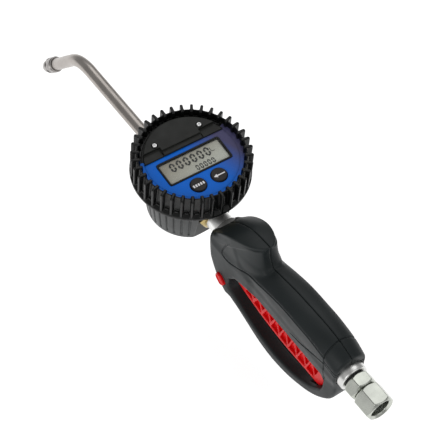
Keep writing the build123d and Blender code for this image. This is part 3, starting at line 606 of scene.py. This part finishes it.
def trigger_distance(p):
    """Plate with rounded edges and a row of triangular pockets on both sides."""
    x, y, z = p
    solid = slab_plate(p, TRIGGER_OUTLINE, 8.0, 1.8)
    for k in range(POCKET_COUNT):
        left = 71.0 + POCKET_PITCH * k
        up = [(left + 1.2, -25), (left + 11.8, -25), (left + 6.5, POCKET_FLOOR(left + POCKET_PITCH) + 4)]
        down = [(left + 7.7, POCKET_FLOOR(left + 7.7)), (left + 18.3, POCKET_FLOOR(left + 18.3)),
                (left + 13.0, -29)]
        for corners in (up, down):
            pocket = np.maximum(polygon_distance(x, z, corners), 5.2 - np.abs(y))
            solid = smax(solid, -pocket, 1.0)
    return solid


def lock_distance(p):
    """Rounded oblong with a shallow dish for the fingertip, on its pin."""
    x, y, z = p
    oblong = slot_distance(x, z, LOCK, 13.0, 9.0, LOCK_ANGLE)
    head = rounded_pair(oblong, np.abs(y - 17.8) - 3.3, 1.5)
    dish = np.maximum(oblong + 2.0, 20.5 - y)
    head = smax(head, -dish, 1.0)
    return np.minimum(head, bar_distance(p, 1, LOCK, 2.6, -12.5, 14.6, 0.3))


field_mesh("trigger_lever", trigger_distance, (61, -10, -54), (208, 10, -14), 0.6, "trigger",
           ("trigger",), LOOKS["trigger_plastic"])
field_mesh("lock_head", lock_distance, (195, -14, -46), (212, 23, -29), 0.35, "lock_button",
           ("lock_button",), LOOKS["trigger_plastic"])


# ---------------------------------------------------------------- rubber boot and meter housing
BOOT_CORE = [(44.7, 22.5), (53.8, 22.9), (55.0, 24.5), (55.0, 26.8), (50.6, 29.6), (49.7, 45.9), (49.7, 49.4),
             (49.1, 50.1), (48.5, 49.7), (48.3, 42.6), (44.7, 42.4)]
RIB_PROFILE = [(46.2, 46), (46.5, 50.4), (47.3, 51.2), (53.6, 51.4), (54.9, 50.4), (54.9, 46.9), (54.4, 25.5),
               (47.5, 25.5)]
LEDGE_PROFILE = [(49.5, 30.2), (52.6, 30.0), (52.4, 31.6), (49.5, 31.8)]
RIB_COUNT = 36


def boot_distance(p):
    """Ring with a flange, ribs like a tyre's, and a short ledge low in each gap between ribs."""
    x, y, z = p[0] - METER_X, p[1], p[2]
    r = np.hypot(x, y)
    turn = np.arctan2(y, x) * RIB_COUNT / (2 * math.pi)
    off = (turn - np.floor(turn) - 0.5) * 2 * math.pi / RIB_COUNT
    core = polygon_distance(r, z, BOOT_CORE)
    beside = np.abs(r * np.sin(off))
    rib = rounded_pair(polygon_distance(r, z, RIB_PROFILE), beside - 1.45 + 0.035 * (r - 49.0), 0.8)
    gap = math.pi / RIB_COUNT - np.abs(off)
    ledge = rounded_pair(polygon_distance(r, z, LEDGE_PROFILE), r * gap - 1.9, 0.4)
    return smin(smin(core, rib, 1.0), ledge, 0.6)


BODY_PROFILE = [(0, -28.7), (33.0, -28.7), (36.4, -27.7), (38.4, -25.1), (40.2, -14.0), (42.0, 0.0),
                (43.2, 14.0), (43.4, 22.0), (0, 22.0)]
GROOVE_PITCH = 10.0


def housing_distance(p):
    """Lower housing of the meter: a slightly flared cup with fine upright grooves."""
    x, y, z = p[0] - METER_X, p[1], p[2]
    r = np.hypot(x, y)
    angle = np.degrees(np.arctan2(y, x))
    turn = angle / GROOVE_PITCH
    off = np.radians((turn - np.floor(turn) - 0.5) * GROOVE_PITCH)
    solid = polygon_distance(r, z, BODY_PROFILE)
    groove = np.maximum(np.abs(r * np.sin(off)) - 0.9, np.abs(z) - 21.0)
    plain = (np.abs(angle) < 24) | (np.abs(angle) > 152)
    skin = r - (40.2 + (z + 14.0) * 0.107)
    groove = np.where(plain, 5.0, np.maximum(groove, -skin - 1.3))
    solid = smax(solid, -groove, 0.8)
    for beyond in (x + METER_X - 248.0, 323.0 - x - METER_X):
        flat = np.maximum(np.maximum(beyond, np.abs(y) - 17.5), z - 17.0)
        solid = smax(solid, -flat, 1.2)
    solid = smin(solid, bar_distance(p, 0, (0, 0), 13.5, 301, 323, 0.8), 1.5)
    hollow = bar_distance(p, 2, (METER_X, 0), 33.05, 9.5, 24, 0.1)
    for part in (bar_distance(p, 2, (METER_X, 12.05), 13.9, -12, 9.6, 0.1),
                 bar_distance(p, 2, (METER_X, -12.05), 13.9, -12, 9.6, 0.1),
                 bar_distance(p, 0, (0, 0), 8.55, 246, 258, 0.1),
                 bar_distance(p, 0, (0, 0), 6.7, 316, 330, 0.1)):
        hollow = np.minimum(hollow, part)
    return smax(solid, -hollow, 0.5)


field_mesh("boot_ring", boot_distance, (223, -58, 20), (339, 58, 54), 0.55, "gun",
           ("rubber_boot",), LOOKS["boot_rubber"])
field_mesh("meter_cup", housing_distance, (236, -45, -31), (326, 45, 24), 0.6, "gun",
           ("meter_body",), LOOKS["meter_casting"])


# ---------------------------------------------------------------- turned and hexagonal fittings
def hex_distance(across, low, high, bore, chamfer=1.5, r=0.35):
    """Hexagon bar along X, its ends turned to a cone, with a bore."""
    def distance(p):
        x, y, z = p
        facing = (math.pi / 2, math.pi / 6, -math.pi / 6)
        flats = [np.abs(y * math.cos(a) + z * math.sin(a)) for a in facing]
        sides = smax(smax(flats[0], flats[1], 0.4), flats[2], 0.4) - across / 2
        ends = np.abs(x - (low + high) / 2) - (high - low) / 2
        solid = rounded_pair(sides, ends, r)
        radius = np.hypot(y, z)
        cone = (radius - across / 2 + (ends + chamfer) * 1.2 - chamfer * 0.25) * 0.64
        return smax(smax(solid, cone, 0.4), bore - radius, 0.5)
    return distance


def rounded_profile(points, r=0.4):
    """Closed (x, radius) outline with its corners rounded."""
    pts = [np.array(q, float) for q in points]
    out = []
    for i, corner in enumerate(pts):
        before, after = pts[i - 1], pts[(i + 1) % len(pts)]
        a = corner + (before - corner) * min(0.45, r / np.linalg.norm(before - corner))
        b = corner + (after - corner) * min(0.45, r / np.linalg.norm(after - corner))
        for t in (0.0, 0.33, 0.67, 1.0):
            out.append(a * (1 - t) ** 2 + corner * 2 * t * (1 - t) + b * t * t)
    return out


def turned(name, profile, body, replaces=(), look=None, origin=(0, 0, 0), along=(1, 0, 0),
           around=96):
    """A ring or sleeve turned about an axis from its closed (along, radius) outline."""
    axis = np.array(along, float)
    side = np.array((0.0, 1.0, 0.0)) if abs(axis[1]) < 0.5 else np.array((1.0, 0.0, 0.0))
    third = np.cross(axis, side)
    points = []
    for k in range(around):
        angle = 2 * math.pi * k / around
        out = side * math.cos(angle) + third * math.sin(angle)
        points += [(np.array(origin) + axis * t + out * r) * MM for t, r in profile]
    n = len(profile)
    faces = [(k * n + i, k * n + (i + 1) % n, (k + 1) % around * n + (i + 1) % n, (k + 1) % around * n + i)
             for k in range(around) for i in range(n)]
    mesh = bpy.data.meshes.new(name)
    mesh.from_pydata([tuple(q) for q in points], [], faces)
    mesh.update()
    following = [profile[(i + 1) % n] for i in range(n)]
    area = sum(here[0] * ahead[1] - ahead[0] * here[1] for here, ahead in zip(profile, following))
    if area > 0:
        mesh.flip_normals()
    mesh.shade_smooth()
    mesh.set_sharp_from_angle(angle=math.radians(35))
    return finish_piece(bpy.data.objects.new(name, mesh), body, replaces, look)


def fitting(name, field, low, high, half, body, node, look):
    """A fitting on the oil line, meshed in a box from low to high along X."""
    field_mesh(name, field, (low - 1, -half, -half), (high + 1, half, half), 0.4, body, (node,),
               LOOKS[look])


def line_bar(p, radius, low, high, r=0.1):
    """A round bar on the oil line."""
    return bar_distance(p, 0, (0, 0), radius, low, high, r)


def swivel_nut_distance(p):
    """Hexagon nut with a chamfered mouth, a thread bore, a relief and a neck for the stem."""
    solid = hex_distance(25.4, 0, 22, 0.0, 1.2)(p)
    solid = smax(solid, (12.2 - p[0] * 1.2 - np.hypot(p[1], p[2])) * 0.64, 0.3)
    for bore in (line_bar(p, 9.32, -3, 11), line_bar(p, 9.6, 10.9, 16), line_bar(p, 7.6, 15.9, 24)):
        solid = smax(solid, -bore, 0.4)
    return solid


def stem_distance(p):
    """Stem with a collar inside the nut, a hexagon and a plain end inside the inlet collar."""
    solid = np.minimum(hex_distance(24.0, 22.5, 36, 0.0, 1.0)(p), line_bar(p, 7.5, 12, 26, 0.2))
    solid = np.minimum(solid, line_bar(p, 8.9, 12, 15.7, 0.3))
    solid = np.minimum(solid, line_bar(p, 7.95, 35, 52, 0.3))
    return smax(solid, -line_bar(p, 5.6, 8, 60), 0.3)


def adapter_distance(p):
    """Brass hexagon between two plain ends, bored through."""
    solid = np.minimum(hex_distance(27.0, 240, 248, 0.0)(p), line_bar(p, 7.0, 230, 241, 0.3))
    solid = np.minimum(solid, line_bar(p, 8.5, 247, 258, 0.3))
    return smax(solid, -line_bar(p, 4.5, 225, 262), 0.3)


fitting("hose_nut", swivel_nut_distance, 0, 22, 16.5, "swivel_nut", "swivel_nut", "zinc_steel")
fitting("stem_hexagon", stem_distance, 12, 52, 16, "gun", "swivel_stem", "zinc_steel")
fitting("brass_adapter", adapter_distance, 230, 258, 17, "gun", "port_adapter", "brass")
fitting("spout_nut", hex_distance(22.0, 323, 339, 5.92), 323, 339, 14, "gun", "union_nut",
        "zinc_steel")
turned("inlet_ring", rounded_profile([(37.6, 8.1), (37.6, 13.1), (38.5, 14.0), (52.0, 14.2), (52.0, 8.1)]),
       "gun", ("inlet_collar",), LOOKS["satin_collar"])
turned("outlet_ring", rounded_profile([(212, 5.5), (212, 8.0), (226, 8.0), (226, 11.15), (239.2, 11.15),
                                       (240, 10.5), (240, 7.0), (230, 7.0), (230, 5.5)]),
       "gun", ("outlet_collar",), LOOKS["outlet_collar"])


# ---------------------------------------------------------------- display
def display_place(x, y, z):
    """A point of the display, which sits slightly turned on the meter, in the row frame."""
    c, s = math.cos(DISPLAY_TURN), math.sin(DISPLAY_TURN)
    return METER_X + x * c - y * s, x * s + y * c, z


def in_display(distance):
    """The same distance, stated in the display's own axes."""
    c, s = math.cos(DISPLAY_TURN), math.sin(DISPLAY_TURN)

    def turned_distance(p):
        x, y = p[0] - METER_X, p[1]
        return distance([x * c + y * s, -x * s + y * c, p[2]])
    return turned_distance


def prism(name, outlines, low, high, bevel, body, look, replaces=()):
    """Flat pieces of the display, each from its outline, with a bevel round the top."""
    points = []
    faces = []
    for outline in outlines:
        pts = np.array(outline, float)
        n = len(pts)
        if (pts[:, 0] * np.roll(pts[:, 1], -1) - pts[:, 1] * np.roll(pts[:, 0], -1)).sum() < 0:
            pts = pts[::-1]
        edge = np.roll(pts, -1, 0) - pts
        normal = np.stack([edge[:, 1], -edge[:, 0]], 1)
        normal /= np.linalg.norm(normal, axis=1)[:, None]
        mean = normal + np.roll(normal, 1, 0)
        mean /= np.maximum((mean * normal).sum(1), 0.3)[:, None]
        start = len(points)
        for z, inset in ((low, 0.0), (high - bevel, 0.0), (high - bevel * 0.3, bevel * 0.3), (high, bevel)):
            points += [display_place(*(q - m * inset), z) for q, m in zip(pts, mean)]
        for ring in range(3):
            for i in range(n):
                j = (i + 1) % n
                a, b = start + ring * n, start + (ring + 1) * n
                faces.append((a + i, a + j, b + j, b + i))
        faces.append([start + i for i in reversed(range(n))])
        faces.append([start + 3 * n + i for i in range(n)])
    mesh = bpy.data.meshes.new(name)
    mesh.from_pydata([tuple(c * MM for c in q) for q in points], [], faces)
    mesh.update()
    return finish_piece(bpy.data.objects.new(name, mesh), body, replaces, LOOKS[look])


def rounded_box_outline(x0, x1, y0, y1, r, steps=5):
    """Rectangle with quarter-circle corners."""
    corners = ((x1 - r, y1 - r, 0), (x0 + r, y1 - r, 90), (x0 + r, y0 + r, 180), (x1 - r, y0 + r, 270))
    out = []
    for cx, cy, start in corners:
        for k in range(steps + 1):
            a = math.radians(start + 90 * k / steps)
            out.append((cx + r * math.cos(a), cy + r * math.sin(a)))
    return out


def segment(u0, v0, u1, v1, width):
    """One bar of a digit with pointed ends."""
    du, dv = u1 - u0, v1 - v0
    length = math.hypot(du, dv)
    du, dv = du / length, dv / length
    h = width / 2
    first, last = 0.12, length - 0.12
    along = ((first, 0), (first + h, h), (last - h, h), (last, 0), (last - h, -h), (first + h, -h))
    return [(u0 + du * a - dv * b, v0 + dv * a + du * b) for a, b in along]


def zero(right, bottom, width, height, stroke):
    """The six bars of a 0; text runs towards -Y and its top is towards +X."""
    x0, x1 = bottom + stroke / 2, bottom + height - stroke / 2
    y0, y1 = right + stroke / 2, right + width - stroke / 2
    middle = (x0 + x1) / 2
    across = [(x0, y0, x0, y1), (x1, y0, x1, y1)]
    upright = [(a, y, b, y) for y in (y0, y1) for a, b in ((x0, middle), (middle, x1))]
    return [segment(*ends, stroke) for ends in across + upright]


LCD_LOW, LCD_HIGH, LCD_HALF_Y = -17.6, 8.8, 32.9
LCD_TOP = LABEL_Z - 1.4


def lcd_outline(inset, r):
    """The display's window, drawn in from the frame's outer edge."""
    return rounded_box_outline(LCD_LOW + inset, LCD_HIGH - inset, -LCD_HALF_Y + inset, LCD_HALF_Y - inset, r)


# a row of six large zeros, a row of five small ones and a unit mark
bars = []
for k in range(6):
    bars += zero(17.1 - 7.2 * k, -5.0, 5.4, 10.0, 1.9)
for k in range(5):
    bars += zero(-1.2 - 4.15 * k, -13.8, 3.2, 6.2, 1.2)
bars += [segment(-1.8, -19.9, 2.8, -19.9, 0.6), segment(-1.8, -19.9, -1.8, -23.4, 0.6)]
prism("lcd_digits", bars, LCD_TOP - 0.02, LCD_TOP + 0.12, 0.04, "gun", "lcd_ink")
prism("lcd_sheet", [lcd_outline(2.0, 0.8)], LABEL_Z - 4.0, LCD_TOP, 0.1, "gun", "lcd_panel",
      ("lcd_module",))
prism("lcd_pane", [lcd_outline(1.9, 1.0)], LABEL_Z - 0.6, LABEL_Z + 0.1, 0.15, "gun",
      "lcd_glass", ("lcd_window",))


def bezel_distance(p):
    """Rounded frame round the display, sloping in to the glass."""
    x, y = p[0] - (LCD_LOW + LCD_HIGH) / 2, p[1]
    half_x, half_y, r = (LCD_HIGH - LCD_LOW) / 2, LCD_HALF_Y, 2.8
    qx, qy = np.abs(x) - half_x + r, np.abs(y) - half_y + r
    outer = np.hypot(np.maximum(qx, 0), np.maximum(qy, 0)) + np.minimum(np.maximum(qx, qy), 0) - r
    up = p[2] - LABEL_Z
    ring = np.maximum(outer, -(outer + 1.9))
    return rounded_pair(ring, np.abs(up + 1.5) - 2.3, 0.4)


field_mesh("lcd_frame", in_display(bezel_distance), (258, -36, 38), (296, 36, 46), 0.4, "gun",
           ("lcd_bezel",), LOOKS["bezel_black"])
DOOR_SCREW_X, DOOR_SCREW_Y = 25.3, 23.4


def battery_door_distance(p):
    """Raised lid in the shape of a circle's segment, with a lower ledge in front and notches at its ends."""
    x, y, z = p
    disc = np.hypot(x, y) - 43.0
    plate = rounded_pair(np.maximum(disc, 17.6 - x), np.abs(z - 44.9) - 2.9, 0.6)
    ledge = rounded_pair(np.maximum(np.maximum(disc, 13.1 - x), x - 19.0), np.abs(z - 43.9) - 1.7, 0.5)
    solid = smin(plate, ledge, 0.5)
    notch = box_distance([x, np.abs(y), z], (10, 20.4, 45.0), (21.8, 40, 60), 0.3)
    slit = box_distance([x, np.abs(y), z], (10, 20.2, 43.9), (17.6, 21.0, 60), 0.2)
    solid = smax(smax(solid, -notch, 0.5), -slit, 0.2)
    from_screw = np.hypot(x - DOOR_SCREW_X, np.abs(y) - DOOR_SCREW_Y)
    solid = smax(solid, -np.maximum(from_screw - 2.8, 46.9 - z), 0.4)
    inner = np.maximum(np.maximum(disc + 3.0, 20.0 - x), z - 46.2)
    solid = np.maximum(solid, -np.maximum(inner, np.abs(y) - 20.0))
    return np.maximum(solid, 1.7 - from_screw)


def door_screw_distance(side):
    """Low round head with a cross recess."""
    def distance(p):
        u, v, z = p[0] - DOOR_SCREW_X, p[1] - side * DOOR_SCREW_Y, p[2]
        r = np.hypot(u, v)
        head = rounded_pair(r - 2.2, np.abs(z - 47.9) - 0.95, 0.5)
        shank = np.maximum(r - 1.6, np.abs(z - 42.5) - 5.2)
        cross = np.minimum(np.maximum(np.abs(u) - 0.32, np.abs(v) - 1.3),
                           np.maximum(np.abs(v) - 0.32, np.abs(u) - 1.3))
        return smax(np.minimum(head, shank), -np.maximum(cross, 48.2 - z), 0.15)
    return distance


field_mesh("battery_door", in_display(battery_door_distance), (290, -46, 41), (328, 46, 49.5), 0.45, "gun",
           ("battery_cover",), LOOKS["display_plastic"])
for side, name in ((1, "door_screw_left"), (-1, "door_screw_right")):
    cx, cy, _ = display_place(DOOR_SCREW_X, side * DOOR_SCREW_Y, 0)
    field_mesh(name, in_display(door_screw_distance(side)), (cx - 3.2, cy - 3.2, 36),
               (cx + 3.2, cy + 3.2, 49.6), 0.2, "gun", ("battery_cover_screws",),
               LOOKS["screw_steel"])


def arc(radius, start, end, steps):
    """Points on a circle about the display's middle, between two angles in degrees."""
    return [(radius * math.cos(math.radians(start + (end - start) * k / steps)),
             radius * math.sin(math.radians(start + (end - start) * k / steps))) for k in range(steps + 1)]


# blue rim round the label, in the label's look, painted reflection gradient included
prism("label_rim", [arc(48.0, 67.3, 292.7, 80) + arc(42.6, 292.7, 67.3, 80)], LABEL_Z - 0.9, LABEL_Z, 0.1,
      "gun", "label_film")
BUTTON_X, BUTTON_Y = -28.1, 10.8
BUTTON_PROFILE = [(36.9, 0.01), (36.9, 2.0), (40.4, 2.0), (40.4, 7.7), (44.0, 7.7), (44.8, 7.2), (45.0, 6.4),
                  (44.7, 3.5), (44.6, 0.01)]
for side, body, name in ((1, "total_button", "total_cap"), (-1, "reset_button", "reset_cap")):
    cx, cy, _ = display_place(BUTTON_X, side * BUTTON_Y, 0)
    turned(name, rounded_profile(BUTTON_PROFILE, 0.3), body, (body,),
           LOOKS["button_rubber"], (cx, cy, 0), (0, 0, 1), 64)
MARK_LOW, MARK_HIGH = 44.5, 44.95
row = [rounded_box_outline(BUTTON_X - 1.9, BUTTON_X + 0.9, BUTTON_Y - 0.8 + 2.5 * k,
                           BUTTON_Y + 0.8 + 2.5 * k, 0.4) for k in (-2, -1, 0, 1, 2)]
prism("total_mark", row, MARK_LOW, MARK_HIGH, 0.08, "total_button", "printed_white")
ARROW = [(0.55, -5.6), (0.55, 2.2), (1.9, 2.2), (0, 5.8), (-1.9, 2.2), (-0.55, 2.2), (-0.55, -5.6)]
arrow = [(BUTTON_X - 0.5 + a, -BUTTON_Y + b) for a, b in ARROW]
prism("reset_mark", [arrow], MARK_LOW, MARK_HIGH, 0.08, "reset_button", "printed_white")


# ---------------------------------------------------------------- spout tip
BEND = math.radians(51.5)
ALONG = np.array((math.cos(BEND), 0.0, -math.sin(BEND)))
TIP_ORIGIN = np.array((458.0, 0.0, 0.0)) + ALONG * 61.5
SLEEVE_PROFILE = [(6.65, 6.4), (7.75, 6.4), (7.75, 15.0), (6.9, 18.0), (6.1, 23.9), (4.6, 27.6), (3.4, 28.6),
                  (3.4, 26.4), (4.5, 23.4), (4.5, 15.4), (6.65, 15.0)]
SOCKET_PROFILE = [(0, 5.92), (0, 6.9), (2.4, 6.9), (3.0, 7.75), (6.0, 7.75), (6.2, 6.6), (14.0, 6.6),
                  (14.4, 6.2), (14.4, 2.3), (12.0, 2.3), (12.0, 4.6), (10.0, 4.6), (10.0, 5.92)]


def sleeve_distance(p):
    """Twist sleeve with six flats and a rounded cone."""
    q = [p[i] - TIP_ORIGIN[i] for i in range(3)]
    t = q[0] * ALONG[0] + q[2] * ALONG[2]
    u = q[0] * ALONG[2] - q[2] * ALONG[0]
    r = np.hypot(u, q[1])
    solid = polygon_distance(r, t, SLEEVE_PROFILE)
    solid = smax(solid, np.maximum(r - 9.0, t - 28.4), 0.3)
    for k in range(6):
        a = math.radians(60 * k)
        flat = u * math.cos(a) + q[1] * math.sin(a)
        cut = np.maximum(np.maximum(7.0 - flat, 9.4 - t), t - 14.4)
        solid = smax(solid, -cut, 0.3)
    return solid


field_mesh("twist_sleeve", sleeve_distance, (493, -9, -79), (521, 9, -45), 0.3, "tip_sleeve",
           ("tip_sleeve",), LOOKS["tip_metal"])
turned("tip_socket", rounded_profile(SOCKET_PROFILE, 0.2), "gun", ("tip_body",),
       LOOKS["tip_metal"], tuple(TIP_ORIGIN), tuple(ALONG))


# ---------------------------------------------------------------- floor, lights and camera
FLOOR_HALF = 4.0
FLOOR_Z = -0.11


def make_floor():
    """A wide pale sheet under the object that glows as a stand-in lamp, with a painted pool of light: white
    and brightest near the object, greyer and dimmer far out.
    """
    corners = [(a * FLOOR_HALF, b * FLOOR_HALF, FLOOR_Z) for a, b in ((-1, -1), (1, -1), (1, 1), (-1, 1))]
    mesh = bpy.data.meshes.new("floor")
    mesh.from_pydata(corners, [], [(0, 1, 2, 3)])
    material, tree, shader = material_base("glowing_floor")
    place = tree.nodes.new("ShaderNodeTexCoord")
    far = tree.nodes.new("ShaderNodeVectorMath")
    far.operation = "LENGTH"
    tree.links.new(place.outputs["Object"], far.inputs[0])
    # painted pool of light: the floor's colour and glow fall off away from the object, and the glow lights
    # the gun's lower and side faces like a lamp
    fade = remap(tree, far.outputs["Value"], 0.0, 1.0, 0.75, 1.7)
    painted_light_pool = ramp(tree, fade, (0.89, 0.89, 0.89), (0.40, 0.40, 0.40), 0.0, 1.0)
    tree.links.new(painted_light_pool, shader.inputs["Base Color"])
    tree.links.new(remap(tree, fade, 0.62, 0.16, 0.0, 1.0), shader.inputs["Emission Strength"])
    shader.inputs["Emission Color"].default_value = (1, 1, 1, 1)
    shader.inputs["Roughness"].default_value = 0.9
    shader.inputs["Specular IOR Level"].default_value = 0.1
    mesh.materials.append(material)
    floor = bpy.data.objects.new("floor", mesh)
    bpy.context.scene.collection.objects.link(floor)


def add_light(name, place, target, size, power):
    """A large soft panel aimed at a point."""
    light = bpy.data.lights.new(name, "AREA")
    light.shape = "RECTANGLE"
    light.size, light.size_y = size
    light.energy = power
    lamp = bpy.data.objects.new(name, light)
    lamp.location = place
    lamp.rotation_mode = "QUATERNION"
    lamp.rotation_quaternion = (Vector(target) - Vector(place)).to_track_quat("-Z", "Y")
    bpy.context.scene.collection.objects.link(lamp)


AZIMUTH, ELEVATION, ROLL = (math.radians(a) for a in (138.70, 55.383, 6.21))
TARGET = Vector((0.216, 0, 0))
DISTANCE = 2.0


def make_camera():
    """Looks at the grip from behind and above the gun's left side."""
    data = bpy.data.cameras.new("camera")
    data.lens = 183.74
    data.shift_x, data.shift_y = -0.02713, 0.03595
    data.clip_end = 20
    camera = bpy.data.objects.new("camera", data)
    flat = math.cos(ELEVATION)
    back = Vector((flat * math.cos(AZIMUTH), flat * math.sin(AZIMUTH), math.sin(ELEVATION)))
    level = Vector((-back.y, back.x, 0)).normalized()
    right = level * math.cos(ROLL) + back.cross(level) * math.sin(ROLL)
    up = back.cross(right)
    turn = Matrix((right, up, back)).transposed().to_4x4()
    camera.matrix_world = Matrix.Translation(TARGET + back * DISTANCE) @ turn
    bpy.context.scene.collection.objects.link(camera)
    bpy.context.scene.camera = camera


make_floor()
CENTRE = (0.27, 0, 0)
add_light("side_panel", (-0.5, 1.5, 0.9), CENTRE, (1.4, 0.9), 9)
add_light("top_panel", (0.95, -0.65, 1.45), CENTRE, (1.4, 1.4), 7)
add_light("rear_panel", (-1.4, -0.5, 1.0), CENTRE, (1.2, 1.2), 4)
world = bpy.data.worlds.new("studio")
world.use_nodes = True
world.node_tree.nodes["Background"].inputs["Color"].default_value = (1, 1, 1, 1)
world.node_tree.nodes["Background"].inputs["Strength"].default_value = 0.36
bpy.context.scene.world = world
bpy.context.scene.view_settings.view_transform = "Standard"
make_camera()
